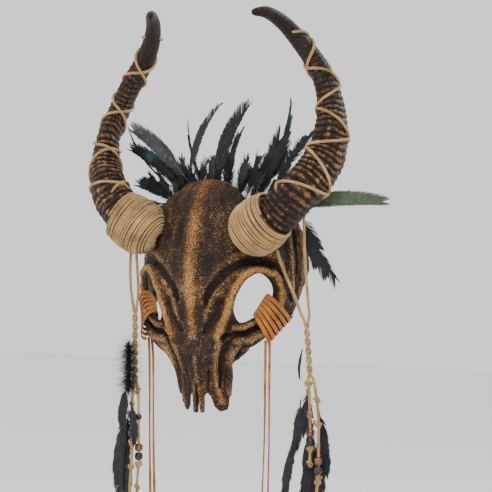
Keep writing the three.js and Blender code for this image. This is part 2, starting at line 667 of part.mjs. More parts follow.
for (const [name, base, tip, width] of CREST) {
  const look = name.includes('green') ? LOOKS.green : LOOKS.feather;
  mask.add(mesh(name, feather(base, tip, width), look));
}
for (const [name, points] of Object.entries(TWINES)) {
  mask.add(mesh(name, tube(route(points), TWINE, TWINE_STEPS, 6), LOOKS.jute));
}
for (const [name, points] of Object.entries(LACES)) {
  mask.add(mesh(name, tube(route(points), LACE_WIDTH, 18, 8, LACE_THICKNESS), LOOKS.suede));
}
for (const [name, radius, place] of BEADS) {
  const look = name.includes('gunmetal') ? LOOKS.gunmetal : LOOKS.copper;
  const made = mesh(name, bead(radius), look);
  made.position.set(...place);
  mask.add(made);
}
for (const [name, base, tip, width] of TASSEL_FEATHERS) {
  mask.add(mesh(name, feather(base, tip, width), LOOKS.feather));
}

export default mask;
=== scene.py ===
import math

import bpy
import numpy as np
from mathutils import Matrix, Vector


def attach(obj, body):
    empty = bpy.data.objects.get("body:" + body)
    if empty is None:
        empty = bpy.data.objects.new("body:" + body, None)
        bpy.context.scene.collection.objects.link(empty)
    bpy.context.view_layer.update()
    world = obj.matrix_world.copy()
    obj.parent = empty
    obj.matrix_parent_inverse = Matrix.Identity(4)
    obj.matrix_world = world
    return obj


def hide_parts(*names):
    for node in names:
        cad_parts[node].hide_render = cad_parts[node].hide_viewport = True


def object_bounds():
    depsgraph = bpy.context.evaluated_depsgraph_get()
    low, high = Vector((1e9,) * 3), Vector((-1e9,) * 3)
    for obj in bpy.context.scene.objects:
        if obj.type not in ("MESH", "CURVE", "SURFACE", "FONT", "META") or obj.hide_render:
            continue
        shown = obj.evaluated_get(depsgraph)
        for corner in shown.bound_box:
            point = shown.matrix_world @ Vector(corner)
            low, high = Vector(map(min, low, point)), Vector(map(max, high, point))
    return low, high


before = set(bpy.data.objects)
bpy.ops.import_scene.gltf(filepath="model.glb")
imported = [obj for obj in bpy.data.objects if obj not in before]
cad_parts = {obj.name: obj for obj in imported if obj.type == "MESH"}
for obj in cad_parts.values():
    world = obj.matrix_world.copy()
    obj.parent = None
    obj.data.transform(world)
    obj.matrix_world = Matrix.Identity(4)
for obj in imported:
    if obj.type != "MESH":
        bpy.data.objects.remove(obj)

import openvdb
from mathutils import Matrix, Vector

cad_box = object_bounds()
MM = 0.001


def linked(name, data):
    """A new object in the scene, which shows some data."""
    made = bpy.data.objects.new(name, data)
    bpy.context.scene.collection.objects.link(made)
    return made


# ---- the view, the floor and the light ------------------------------------------------------
VIEW_AZIMUTH = math.radians(28)
VIEW_ELEVATION = math.radians(1.5)
VIEW_DISTANCE = 2.4
VIEW_WIDTH = 0.5264
VIEW_SHIFT = Vector((0.0377, 0, -0.001))
SENSOR = 36.0
FLOOR_SIZE = 6.0
FLOOR_DROP = 0.35
WORLD_STRENGTH = 1.15


def make_camera():
    right = Vector((math.cos(VIEW_AZIMUTH), math.sin(VIEW_AZIMUTH), 0))
    back = Vector((math.sin(VIEW_AZIMUTH), -math.cos(VIEW_AZIMUTH), 0))
    back = back * math.cos(VIEW_ELEVATION) + Vector((0, 0, math.sin(VIEW_ELEVATION)))
    target = right * VIEW_SHIFT.x + Vector((0, 0, VIEW_SHIFT.z))
    data = bpy.data.cameras.new("photo_camera")
    data.sensor_width = SENSOR
    data.lens = SENSOR * VIEW_DISTANCE / VIEW_WIDTH
    data.clip_end = 20
    camera = linked("photo_camera", data)
    camera.location = target + back * VIEW_DISTANCE
    camera.rotation_euler = (-back).to_track_quat("-Z", "Y").to_euler()
    bpy.context.scene.camera = camera


def area_light(name, place, aim, size, power):
    data = bpy.data.lights.new(name, "AREA")
    data.shape = "DISK"
    data.size = size
    data.energy = power
    data.color = (1.0, 0.98, 0.96)
    lamp = linked(name, data)
    lamp.location = place
    lamp.rotation_euler = (Vector(aim) - Vector(place)).to_track_quat("-Z", "Y").to_euler()


def make_surroundings():
    area_light("key_light", (1.3, -1.9, 1.5), (0, 0, 0), 1.1, 80)
    area_light("fill_light", (-1.8, -1.2, 0.4), (0, 0, 0), 1.6, 26)
    area_light("rim_light", (0.6, 1.8, 1.3), (0, 0, 0.05), 1.2, 40)
    world = bpy.data.worlds.new("studio")
    world.use_nodes = True
    world.node_tree.nodes["Background"].inputs["Color"].default_value = (1, 1, 1, 1)
    world.node_tree.nodes["Background"].inputs["Strength"].default_value = WORLD_STRENGTH
    bpy.context.scene.world = world
    floor_z = cad_box[0][2] - FLOOR_DROP
    mesh = bpy.data.meshes.new("floor")
    corners = [(x * FLOOR_SIZE, y * FLOOR_SIZE, floor_z) for x, y in ((-1, -1), (1, -1), (1, 1), (-1, 1))]
    mesh.from_pydata(corners, [], [(0, 1, 2, 3)])
    floor = linked("floor", mesh)
    pale = bpy.data.materials.new("pale_floor")
    pale.use_nodes = True
    shader = pale.node_tree.nodes["Principled BSDF"]
    shader.inputs["Base Color"].default_value = (0.9, 0.9, 0.9, 1)
    shader.inputs["Roughness"].default_value = 0.9
    floor.data.materials.append(pale)


# ---- paths and swept meshes -----------------------------------------------------------------
FIELD_REACH = 3.0


def smooth_path(points, step):
    """Points every step along a centripetal Catmull-Rom curve through points."""
    p = np.asarray(points, float)
    p = np.vstack([2 * p[0] - p[1], p, 2 * p[-1] - p[-2]])
    found = []
    for a, b, c, d in zip(p[:-3], p[1:-2], p[2:-1], p[3:]):
        knots = np.cumsum([0] + [np.linalg.norm(v) ** 0.5 for v in (b - a, c - b, d - c)])
        t = np.linspace(knots[1], knots[2], 24, endpoint=False)[:, None]
        k0, k1, k2, k3 = knots
        ab = (k1 - t) / (k1 - k0) * a + (t - k0) / (k1 - k0) * b
        bc = (k2 - t) / (k2 - k1) * b + (t - k1) / (k2 - k1) * c
        cd = (k3 - t) / (k3 - k2) * c + (t - k2) / (k3 - k2) * d
        abc = (k2 - t) / (k2 - k0) * ab + (t - k0) / (k2 - k0) * bc
        bcd = (k3 - t) / (k3 - k1) * bc + (t - k1) / (k3 - k1) * cd
        found.append((k2 - t) / (k2 - k1) * abc + (t - k1) / (k2 - k1) * bcd)
    return even_path(np.vstack([*found, p[-2:-1]]), step)


def runs_of(path):
    """Length along a path from its start to each point."""
    return np.concatenate([[0], np.cumsum(np.linalg.norm(np.diff(path, axis=0), axis=1))])


def even_path(points, step):
    """The same line with its points about a step apart."""
    runs = runs_of(points)
    count = max(int(round(runs[-1] / step)), 2)
    at = np.linspace(0, runs[-1], count + 1)
    return np.stack([np.interp(at, runs, points[:, k]) for k in range(3)], 1)


def path_frames(path, side0=(1, 0, 0)):
    """Tangent, side and out at each point, turning as little as they can."""
    along = np.gradient(path, axis=0)
    along /= np.linalg.norm(along, axis=1)[:, None]
    side = np.asarray(side0, float)
    if abs(side @ along[0]) > 0.95:
        side = np.array([0.0, 1.0, 0.0])
    sides = []
    for t in along:
        side = side - (side @ t) * t
        side = side / np.linalg.norm(side)
        sides.append(side)
    sides = np.array(sides)
    return along, sides, np.cross(sides, along)


def grid_faces(rings, around):
    """Quads between rings of points."""
    a = np.arange(rings - 1)[:, None] * around
    b = np.arange(around)[None, :]
    c = (b + 1) % around
    return np.stack([a + b, a + c, a + around + c, a + around + b], -1).reshape(-1, 4)


def add_mesh(name, vertices, faces, body="root", attributes=None):
    """A smooth-shaded piece that rides a body; attributes hold one value for each vertex."""
    mesh = bpy.data.meshes.new(name)
    faces = [np.asarray(f) for f in (faces if isinstance(faces, list) else [faces]) if len(f)]
    sizes = np.concatenate([np.full(len(f), f.shape[1]) for f in faces])
    mesh.vertices.add(len(vertices))
    mesh.vertices.foreach_set("co", np.asarray(vertices, np.float32).ravel())
    mesh.loops.add(int(sizes.sum()))
    mesh.loops.foreach_set("vertex_index", np.concatenate([f.ravel() for f in faces]).astype(np.int32))
    mesh.polygons.add(len(sizes))
    starts = np.concatenate([[0], np.cumsum(sizes)[:-1]])
    mesh.polygons.foreach_set("loop_start", starts.astype(np.int32))
    mesh.update(calc_edges=True)
    mesh.validate()
    mesh.polygons.foreach_set("use_smooth", np.ones(len(mesh.polygons), bool))
    for key, values in (attributes or {}).items():
        mesh.attributes.new(key, "FLOAT", "POINT").data.foreach_set(
            "value", np.asarray(values, np.float32).ravel())
    made = linked(name, mesh)
    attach(made, body)
    return made


def swept(path, radii, around, side0=(1, 0, 0)):
    """Vertices, quads and end fans of a tube; radii is rings by around, in the ring's own angle."""
    _, side, out = path_frames(path, side0)
    angle = 2 * np.pi * np.arange(around) / around
    ring = (np.cos(angle)[None, :, None] * side[:, None] + np.sin(angle)[None, :, None] * out[:, None])
    vertices = path[:, None] + ring * radii[..., None]
    rings = len(path)
    quads = grid_faces(rings, around)[:, ::-1]
    vertices = np.vstack([vertices.reshape(-1, 3), path[:1], path[-1:]])
    k = np.arange(around)
    first, last = rings * around, rings * around + 1
    starts = np.stack([np.full(around, first), (k + 1) % around, k], 1)
    top = (rings - 1) * around
    ends = np.stack([np.full(around, last), top + k, top + (k + 1) % around], 1)
    return vertices, [quads, starts[:, ::-1], ends[:, ::-1]]


def random_of(seed):
    return np.random.default_rng(seed)


def ribbons(lines, across, half):
    """Vertices and quads of narrow strips, one along each line, with half widths at its points."""
    edge = across[:, None] * half
    strips = np.stack([lines - edge, lines + edge], 2)
    count, points = lines.shape[:2]
    k = np.arange(count)[:, None] * 2 * points + 2 * np.arange(points - 1)[None]
    return strips.reshape(-1, 3), np.stack([k, k + 1, k + 3, k + 2], -1).reshape(-1, 4)


def bent(start, first, drift, bend, long, steps):
    """Lines that set off one way from each start and drift off another."""
    way = first[:, None] * steps + drift[:, None] * steps ** 2 * bend
    return start[:, None] + way * long[:, None, None]


def unit(rows):
    """Each row as a unit vector."""
    return rows / np.linalg.norm(rows, axis=1)[:, None]


def grid_points(axes):
    """Every point of a grid, from its three axes."""
    return np.stack(np.meshgrid(*axes, indexing="ij"), -1).reshape(-1, 3)


def surface_of(field, axes, step):
    """Vertices and quads of the surface where a field over a grid is zero: below is solid."""
    grid = openvdb.FloatGrid(background=FIELD_REACH)
    values = np.clip(field, -FIELD_REACH, FIELD_REACH).reshape([len(a) for a in axes])
    grid.copyFromArray(values.astype(np.float32))
    found, quads = grid.convertToQuads(isovalue=0.0)
    return found * step + np.array([a[0] for a in axes]), quads


def joined(parts):
    """One mesh's vertices, faces and attributes from several (vertices, faces, attributes)."""
    start, vertices, faces, attributes = 0, [], [], {}
    for v, f, a in parts:
        vertices.append(v)
        faces += [np.asarray(x) + start for x in (f if isinstance(f, list) else [f])]
        for key, values in a.items():
            attributes.setdefault(key, []).append(values)
        start += len(v)
    return np.vstack(vertices), faces, {k: np.concatenate(v) for k, v in attributes.items()}


# ---- materials ------------------------------------------------------------------------------
class Look:
    """A node material under construction: a Principled shader and short ways to add nodes."""

    def __init__(self, name, **constants):
        self.material = bpy.data.materials.new(name)
        self.material.use_nodes = True
        self.tree = self.material.node_tree
        self.shader = self.tree.nodes["Principled BSDF"]
        for key, value in constants.items():
            self.shader.inputs[key.replace("_", " ")].default_value = value
        self.place = self.node("ShaderNodeTexCoord").outputs["Object"]

    def node(self, kind, **settings):
        made = self.tree.nodes.new(kind)
        for key, value in settings.items():
            setattr(made, key, value)
        return made

    def link(self, source, target):
        self.tree.links.new(source, target)

    def attribute(self, name):
        return self.node("ShaderNodeAttribute", attribute_name=name).outputs["Fac"]

    def noise(self, scale, detail=4.0, roughness=0.6, distortion=0.0, at=None):
        made = self.node("ShaderNodeTexNoise")
        made.inputs["Scale"].default_value = scale
        made.inputs["Detail"].default_value = detail
        made.inputs["Roughness"].default_value = roughness
        made.inputs["Distortion"].default_value = distortion
        self.link(at or self.place, made.inputs["Vector"])
        return made.outputs["Fac"]

    def cells(self, scale, feature="F1"):
        made = self.node("ShaderNodeTexVoronoi", feature=feature)
        made.inputs["Scale"].default_value = scale
        self.link(self.place, made.inputs["Vector"])
        return made.outputs["Distance"]

    def stretched(self, x, y, z):
        made = self.node("ShaderNodeMapping")
        made.inputs["Scale"].default_value = (x, y, z)
        self.link(self.place, made.inputs["Vector"])
        return made.outputs["Vector"]

    def ramp(self, value, stops):
        made = self.node("ShaderNodeValToRGB")
        made.color_ramp.interpolation = "EASE"
        while len(made.color_ramp.elements) < len(stops):
            made.color_ramp.elements.new(0.5)
        for element, (at, color) in zip(made.color_ramp.elements, stops):
            element.position = at
            element.color = (*color, 1)
        self.link(value, made.inputs["Fac"])
        return made.outputs["Color"]

    def math(self, operation, a, b):
        made = self.node("ShaderNodeMath", operation=operation)
        for socket, value in zip(made.inputs, (a, b)):
            if isinstance(value, (int, float)):
                socket.default_value = value
            else:
                self.link(value, socket)
        return made.outputs[0]

    def plus(self, a, b):
        return self.math("ADD", a, b)

    def times(self, a, b):
        return self.math("MULTIPLY", a, b)

    def less(self, a, b):
        return self.math("SUBTRACT", a, b)

    def mix(self, share, a, b, blend="MIX"):
        made = self.node("ShaderNodeMix", data_type="RGBA", blend_type=blend)
        for socket, value in ((made.inputs["Factor"], share), (made.inputs[6], a), (made.inputs[7], b)):
            if isinstance(value, tuple):
                socket.default_value = (*value, 1)
            elif isinstance(value, float):
                socket.default_value = value
            else:
                self.link(value, socket)
        return made.outputs[2]

    def color(self, value):
        self.link(value, self.shader.inputs["Base Color"])
        return self

    def rough(self, value, low, high):
        spread = self.node("ShaderNodeMapRange")
        spread.inputs["To Min"].default_value = low
        spread.inputs["To Max"].default_value = high
        self.link(value, spread.inputs["Value"])
        self.link(spread.outputs["Result"], self.shader.inputs["Roughness"])
        return self

    def bump(self, value, distance, strength=1.0):
        made = self.node("ShaderNodeBump")
        made.inputs["Distance"].default_value = distance
        made.inputs["Strength"].default_value = strength
        self.link(value, made.inputs["Height"])
        self.link(made.outputs["Normal"], self.shader.inputs["Normal"])
        return self


def jute_look():
    look = Look("jute_twine", Roughness=0.95, Specular_IOR_Level=0.15)
    look.shader.inputs["Sheen Weight"].default_value = 0.1
    look.shader.inputs["Sheen Roughness"].default_value = 0.6
    # deep is painted shade: it darkens the valleys between the plies and the wrap's core under the turns, and
    # the shade ramp multiplies it into the colour.
    deep = look.attribute("deep")
    patch = look.noise(60, 3)
    fibre = look.noise(2600, 2, 0.7)
    tone = look.ramp(look.plus(look.times(patch, 0.6), look.times(fibre, 0.4)), [
        (0.32, (0.20, 0.12, 0.045)), (0.48, (0.36, 0.235, 0.10)), (0.66, (0.56, 0.40, 0.20))])
    shade = look.ramp(deep, [(0.0, (1, 1, 1)), (0.5, (0.62, 0.53, 0.42)), (1.0, (0.16, 0.11, 0.06))])
    look.color(look.mix(1.0, tone, shade, "MULTIPLY"))
    return look.bump(fibre, 0.0004, 0.6).material


# ---- twine ----------------------------------------------------------------------------------
PLIES = 3
PLY_OFFSET = 0.5
PLY_RADIUS = 0.56
HAIR_ROOT = 0.9


def rope_profile(angle):
    """Radius of a three-ply twine, as a share of its own, at an angle from its nearest ply."""
    part = 2 * np.pi / PLIES
    near = (angle + part / 2) % part - part / 2
    across = PLY_OFFSET * np.sin(near)
    return PLY_OFFSET * np.cos(near) + np.sqrt(np.maximum(PLY_RADIUS ** 2 - across ** 2, 0))


def twine_tube(path, diameter, seed, around=15, lay=3.1, uneven=0.05):
    """A twisted three-ply twine along a path whose points are about a third of its width apart."""
    random = random_of(seed)
    runs = runs_of(path)
    twist = 2 * np.pi * runs / (lay * diameter)
    angle = 2 * np.pi * np.arange(around) / around
    share = rope_profile(angle[None] - twist[:, None])
    knots = random.normal(0, 1, max(int(runs[-1] / (1.4 * diameter)), 4))
    wobble = np.interp(runs, np.linspace(0, runs[-1], len(knots)), knots)
    radii = diameter / 2 * share * (1 + uneven * wobble[:, None])
    radii *= 1 + 0.02 * random.normal(0, 1, radii.shape)
    vertices, faces = swept(path, radii, around)
    # deep is painted shade, darkest in the valleys between the plies, with a little on the end caps.
    low, high = share.min(), share.max()
    deep = np.concatenate([((high - share) / (high - low)).ravel(), [0.3, 0.3]])
    return vertices, faces, {"deep": deep}


def hairs(path, diameter, seed, per_mm, reach, width=0.09):
    """Loose fibres of a twine: thin bent blades that leave its surface at random."""
    random = random_of(seed)
    runs = runs_of(path)
    count = int(runs[-1] * per_mm)
    along, side, out = path_frames(path)
    at = random.integers(1, len(path) - 1, count)
    turn = random.uniform(0, 2 * np.pi, count)
    outward = np.cos(turn)[:, None] * side[at] + np.sin(turn)[:, None] * out[at]
    lean = random.normal(0, 1.1, count)[:, None]
    first = unit(outward * 0.6 + along[at] * lean + random.normal(0, 0.3, (count, 3)))
    drift = random.normal(0, 0.55, (count, 3))
    long = reach * random.uniform(0.25, 1.0, count) ** 1.5
    steps = np.linspace(0, 1, 4)[None, :, None]
    start = path[at] + outward * diameter / 2 * HAIR_ROOT
    across = unit(np.cross(first, random.normal(0, 1, (count, 3))))
    lines = bent(start, first, drift, 0.6, long, steps)
    vertices, faces = ribbons(lines, across, width / 2 * (1 - 0.75 * steps))
    # deep gives the loose fibres a little painted shade.
    return vertices, faces, {"deep": np.full(len(vertices), 0.15)}


# ---- the skull ------------------------------------------------------------------------------
# Height, front, half width, depth, squareness and keel of the skull's horizontal sections, in mm.
SECTIONS = np.array([
    [72, -2, 60, 60, 2.2, 0], [46, -25, 74, 72, 2.3, 2], [22, -29, 82, 80, 2.5, 8],
    [-22, -36, 88, 85, 2.8, 10], [-57, -32, 88, 83, 3.0, 13], [-82, -29, 87, 70, 2.8, 13],
    [-95, -28, 80, 46, 2.8, 11], [-107, -28, 70, 30, 2.6, 9], [-124, -27, 42, 25, 2.4, 6],
    [-150, -25, 33, 25, 2.2, 5], [-180, -22, 29, 25, 2.2, 5]], float)
KEEL_SHARE = 0.7
FACE_SHARE = 0.8
TEMPLE_LENGTH = 60.0
SHELL = 4.0
SIDE_OUTLINE = [(-90, 71), (-90, -190), (-8, -190), (-8, -150), (-12, -124), (-18, -107), (-9, -96),
                (2, -90), (12, -83), (26, -71), (43, -50), (61, -27), (63, -10), (55, 14), (38, 38),
                (20, 58), (8, 71)]
NOSE_HALF = [(-5, -230), (-5, -165), (0.6, -166), (1.6, -177), (4, -178), (6, -176), (6.5, -160), (9, -155.5),
             (12.5, -160), (15, -171), (20, -176.5), (26, -174.5), (31, -167), (42, -162), (80, -162),
             (80, -230)]
CROWN_HALF = [(-1, 120), (-1, 71), (12, 70), (22, 67), (32, 61.5), (42, 54), (50, 47), (58, 42), (99, 40),
              (99, 120)]
EYE_OUTLINE = [(4.5, 25.7), (-8, 19.3), (-17, 5.4), (-20.5, -7.5), (-18, -19), (-11.4, -25.7),
               (4.5, -17), (16, -5.3), (20.5, 6.4), (16, 18)]
EYE_MIDDLE = np.array([64, -20, -54.6])
ORBIT_ACROSS = np.array([0.67, 0.74, 0]) / math.hypot(0.67, 0.74)
ORBIT_OUT = np.array([ORBIT_ACROSS[1], -ORBIT_ACROSS[0], 0])
GRID = 1.15


def section_values(z):
    """Front, half width, depth, squareness and keel at each height, smooth between the rows."""
    rows = SECTIONS[::-1]
    h = rows[:, 0]
    z = np.clip(z, h[0], h[-1])
    i = np.clip(np.searchsorted(h, z) - 1, 0, len(h) - 2)
    before, after = np.maximum(np.arange(len(h)) - 1, 0), np.minimum(np.arange(len(h)) + 1, len(h) - 1)
    slopes = (rows[after] - rows[before]) / (h[after] - h[before])[:, None]
    step = (h[i + 1] - h[i])[:, None]
    t = ((z - h[i]) / step[:, 0])[:, None]
    found = ((2 * t ** 3 - 3 * t ** 2 + 1) * rows[i] + (t ** 3 - 2 * t ** 2 + t) * step * slopes[i]
             + (3 * t ** 2 - 2 * t ** 3) * rows[i + 1] + (t ** 3 - t ** 2) * step * slopes[i + 1])
    return found[:, 1:].T


def keel_share(x, half):
    """How much of the keel a point has, by how far it is from the middle of the face."""
    return np.maximum(1 - (x / (KEEL_SHARE * half)) ** 2, 0) ** 2


def skull_surface(across, z):
    """Points of the skull's surface, in mm: across runs from -1 to 1, ear to ear round the front."""
    front, half, depth, square, keel = section_values(z)
    turn = np.minimum(np.abs(across) / FACE_SHARE, 1) * np.pi / 2
    past = np.maximum(np.abs(across) - FACE_SHARE, 0) / (1 - FACE_SHARE)
    x = half * np.sin(turn) ** (2 / square)
    y = front + depth * (1 - np.maximum(np.cos(turn), 0) ** (2 / square))
    y -= keel * keel_share(x, half)
    return np.stack([np.sign(across) * x, y + past * TEMPLE_LENGTH, z], -1)


def soft_noise(shape, size, seed):
    """Smooth noise from -1 to 1 over a map: random values size cells apart, joined smoothly."""
    random = random_of(seed)
    size = (size, size) if np.isscalar(size) else size
    grid = random.uniform(-1, 1, (int(shape[0] / size[0]) + 3, int(shape[1] / size[1]) + 3))
    i, j = np.arange(shape[0]) / size[0], np.arange(shape[1]) / size[1]
    i0, j0 = i.astype(int), j.astype(int)
    u, v = ((s - s0) for s, s0 in ((i, i0), (j, j0)))
    u, v = (3 * u ** 2 - 2 * u ** 3)[:, None], (3 * v ** 2 - 2 * v ** 3)[None]
    corner = [[grid[np.ix_(i0 + a, j0 + b)] for b in (0, 1)] for a in (0, 1)]
    low = corner[0][0] * (1 - v) + corner[0][1] * v
    high = corner[1][0] * (1 - v) + corner[1][1] * v
    return low * (1 - u) + high * u


def line_distance(u, v, line):
    """Distance to a polyline as a share of its half width there, the third value of each point."""
    best = np.full(u.shape, 1e3)
    for a, b in zip(line[:-1], line[1:]):
        wa, wb = a[2], b[2]
        dx, dy = b[0] - a[0], b[1] - a[1]
        t = np.clip(((u - a[0]) * dx + (v - a[1]) * dy) / (dx * dx + dy * dy), 0, 1)
        found = np.hypot(u - a[0] - t * dx, v - a[1] - t * dy) / (wa + t * (wb - wa))
        best = np.minimum(best, found)
    return best


def bump_of(share):
    """A smooth bump: one at no distance, and nothing past the half width."""
    return np.maximum(1 - share ** 2, 0) ** 2


def polygon_distance(u, v, outline):
    """Distance to a closed outline, negative inside it."""
    best = np.full(u.shape, 1e6)
    inside = np.zeros(u.shape, bool)
    for a, b in zip(outline, [*outline[1:], outline[0]]):
        dx, dy = b[0] - a[0], b[1] - a[1]
        t = np.clip(((u - a[0]) * dx + (v - a[1]) * dy) / (dx * dx + dy * dy), 0, 1)
        best = np.minimum(best, (u - a[0] - t * dx) ** 2 + (v - a[1] - t * dy) ** 2)
        if a[1] != b[1]:
            crosses = ((a[1] > v) != (b[1] > v)) & (u < (v - a[1]) * dx / dy + a[0])
            inside ^= crosses
    return np.where(inside, -1, 1) * np.sqrt(best)


def closed_spline(points, steps):
    """A smooth closed line through points, with some steps between each two."""
    p = np.asarray(points, float)
    t = np.arange(steps)[:, None] / steps
    a, b, c, d = np.roll(p, 1, 0), p, np.roll(p, -1, 0), np.roll(p, -2, 0)
    rows = [0.5 * (2 * q + (r - o) * t + (2 * o - 5 * q + 4 * r - s) * t ** 2
                   + (3 * q - o - 3 * r + s) * t ** 3) for o, q, r, s in zip(a, b, c, d)]
    return [tuple(x) for x in np.vstack(rows)]


EYE_LINE = closed_spline(EYE_OUTLINE, 6)

# Carved lines of the skull: view, height in mm (below zero is a groove), and its points, each
# with the line's half width there. "orbit" lines lie in the orbit's plane, "front" lines have
# (x, z) and "side" lines (y, z); each is on both sides of the face.
CARVED = [
    ("orbit", -5.0, [(-50, -3, 3), (-47, 8, 5), (-38, 21, 6.5), (-25, 32, 6.5), (-10, 38, 6), (5, 38, 5),
                     (20, 34, 4), (30, 24, 3), (34, 10, 2.5)]),
    ("orbit", 4.2, [(-38, -40, 6), (-32, -22, 8), (-27, -6, 8.5), (-22, 9, 8), (-14, 22, 6), (-3, 30, 5),
                    (10, 30, 4.5), (21, 23, 4.5), (27, 10, 4.5), (27, -4, 4), (23, -14, 3)]),
    ("orbit", 2.2, [(-53, -6, 2), (-50, -2, 3), (-44, -1, 1.5)]),
    ("orbit", 3.0, [(-24, 44, 3), (-8, 49, 5), (8, 49, 6), (26, 42, 6), (38, 26, 5), (43, 6, 4)]),
    ("orbit", -5.0, [(-34, -41, 4.5), (-20, -38, 4), (-8, -37, 3.5), (2, -32, 3), (10, -26, 2)]),
    ("orbit", 3.6, [(-22, -31, 4), (-10, -31, 4.5), (0, -26, 3.5), (8, -20, 2.5)]),
    ("orbit", 3.4, [(-20, -45, 5), (-6, -45, 6), (6, -39, 6), (15, -30, 5)]),
    ("front", -4.6, [(41, -97, 4), (34, -104, 5.5), (28, -114, 5), (25, -126, 4), (23.5, -140, 3),
                     (22, -150, 2)]),
    ("front", 3.2, [(47, -104, 4), (38, -113, 5), (33, -125, 4), (30, -142, 3.5), (28, -158, 3)]),
    ("front", -3.0, [(48, -112, 3), (41, -117, 3), (36, -128, 2), (33.5, -142, 1.6)]),
    ("front", 3.0, [(30, -88, 5), (24, -100, 6), (20, -116, 5.5), (18, -134, 4.5), (19, -150, 4.5),
                    (22, -166, 5)]),
    ("front", -2.6, [(12, -132, 2), (10.5, -143, 3), (9.5, -154, 3.5)]),
    ("front", 2.2, [(0, -118, 4), (0, -140, 5), (3.5, -160, 4), (4, -176, 3)]),
    ("front", -2.0, [(0, -146, 1.2), (0, -160, 1.8), (0, -178, 2)]),
    ("front", 2.0, [(0, 74, 11), (0, 40, 13), (0, 0, 12), (0, -30, 9), (0, -60, 8), (0, -95, 7)]),
    ("front", -1.2, [(17, 24, 7), (19, -10, 9), (19, -38, 9), (17, -62, 7)]),
    ("front", -2.8, [(30, -58, 6), (26, -72, 7), (17, -82, 6), (12, -90, 3)]),
    ("front", 2.0, [(20, -60, 4), (15, -70, 4), (14, -80, 3)]),
    ("front", 2.0, [(38, 40, 14), (44, 10, 15), (44, -14, 12)]),
    ("side", -4.6, [(28, 50, 3), (32, 30, 4.5), (34, 6, 5), (33, -16, 4), (31, -30, 2)]),
    ("side", 2.8, [(18, 50, 4), (21, 26, 5), (22, 2, 6), (20, -22, 5), (22, -46, 4)]),
    ("side", 2.6, [(42, 30, 3), (46, 8, 5), (46, -14, 5), (41, -34, 5), (34, -50, 4)]),
    ("side", -3.4, [(10, -20, 3), (14, -40, 4), (20, -58, 3)]),
    ("orbit", 5.0, [(22, 30, 5), (30, 16, 6.5), (32, 0, 7), (28, -14, 5)]),
]


def face_planes(points):
    """Where points lie in each view that the face's lines are drawn in."""
    x, y, z = np.abs(points[..., 0]), points[..., 1], points[..., 2]
    from_eye = np.stack([x, y, z], -1) - EYE_MIDDLE
    return {"orbit": (from_eye @ ORBIT_ACROSS, from_eye[..., 2]), "front": (x, z), "side": (y, z)}


def carved_height(points):
    """Height in mm of the carved lines over surface points."""
    x, y = np.abs(points[..., 0]), points[..., 1]
    planes = face_planes(points)
    share_of = {"orbit": x > 8, "front": y < 12, "side": (y > 2) & (x > 50)}
    height = np.zeros(x.shape)
    for view, amount, line in CARVED:
        found = line_distance(*planes[view], line)
        height += amount * bump_of(found) * share_of[view]
    return height


def blurred(field, reach):
    """The field averaged over reach cells to either side, twice."""
    for axis in (0, 1, 0, 1):
        padded = np.pad(field, [(reach + 1, reach) if k == axis else (0, 0) for k in (0, 1)], mode="edge")
        total = np.cumsum(padded, axis=axis)
        size = 2 * reach + 1
        high, low = (np.take(total, np.arange(k, k + field.shape[axis]), axis) for k in (size, 0))
        field = (high - low) / size
    return field


def skull_map():
    """The skull's relief as a map over across and height: all of it, and its slow part."""
    across, z = np.linspace(-1, 1, 901), np.arange(-190, 78, 0.5)
    s, h = np.meshgrid(across, z, indexing="ij")
    points = skull_surface(s.ravel(), h.ravel()).reshape(*s.shape, 3)
    carved = carved_height(points)
    lumps = 0.8 * soft_noise(s.shape, 38, 1) + 0.5 * soft_noise(s.shape, 17, 2)
    fine = 0.35 * soft_noise(s.shape, 7, 3) + 0.3 * soft_noise(s.shape, 4.2, 4)
    hollow = np.minimum(carved, 0)
    return across, z, carved + 0.6 * lumps + fine, np.minimum(1.25 * blurred(hollow, 9), hollow)


def looked_up(field, across, z, s, h):
    """A map's value at places s round the skull and h high, between its own cells."""
    i = np.clip((s - across[0]) / (across[1] - across[0]), 0, len(across) - 1.001)
    j = np.clip((h - z[0]) / (z[1] - z[0]), 0, len(z) - 1.001)
    i0, j0 = i.astype(np.int32), j.astype(np.int32)
    u, v = i - i0, j - j0
    return ((field[i0, j0] * (1 - v) + field[i0, j0 + 1] * v) * (1 - u)
            + (field[i0 + 1, j0] * (1 - v) + field[i0 + 1, j0 + 1] * v) * u)


def across_of(x, y, z):
    """Where a point is round the skull, from -1 to 1."""
    front, half, depth, square, _ = section_values(np.atleast_1d(z))
    wide = np.abs(x) / half
    deep = np.maximum(front + depth - y, 0) / depth
    ratio = (wide / np.maximum((wide ** square + deep ** square) ** (1 / square), 1e-6)) ** (square / 2)
    turn = np.arcsin(np.clip(ratio, 0, 1)) / (np.pi / 2) * FACE_SHARE
    past = np.clip((y - front - depth) / TEMPLE_LENGTH, 0, 1) * (1 - FACE_SHARE)
    return np.sign(x) * (turn + past)


def smooth_min(a, b, k):
    """The smaller of two fields, rounded over k where they are close."""
    h = np.maximum(k - np.abs(a - b), 0) / k
    return np.minimum(a, b) - h * h * k / 4


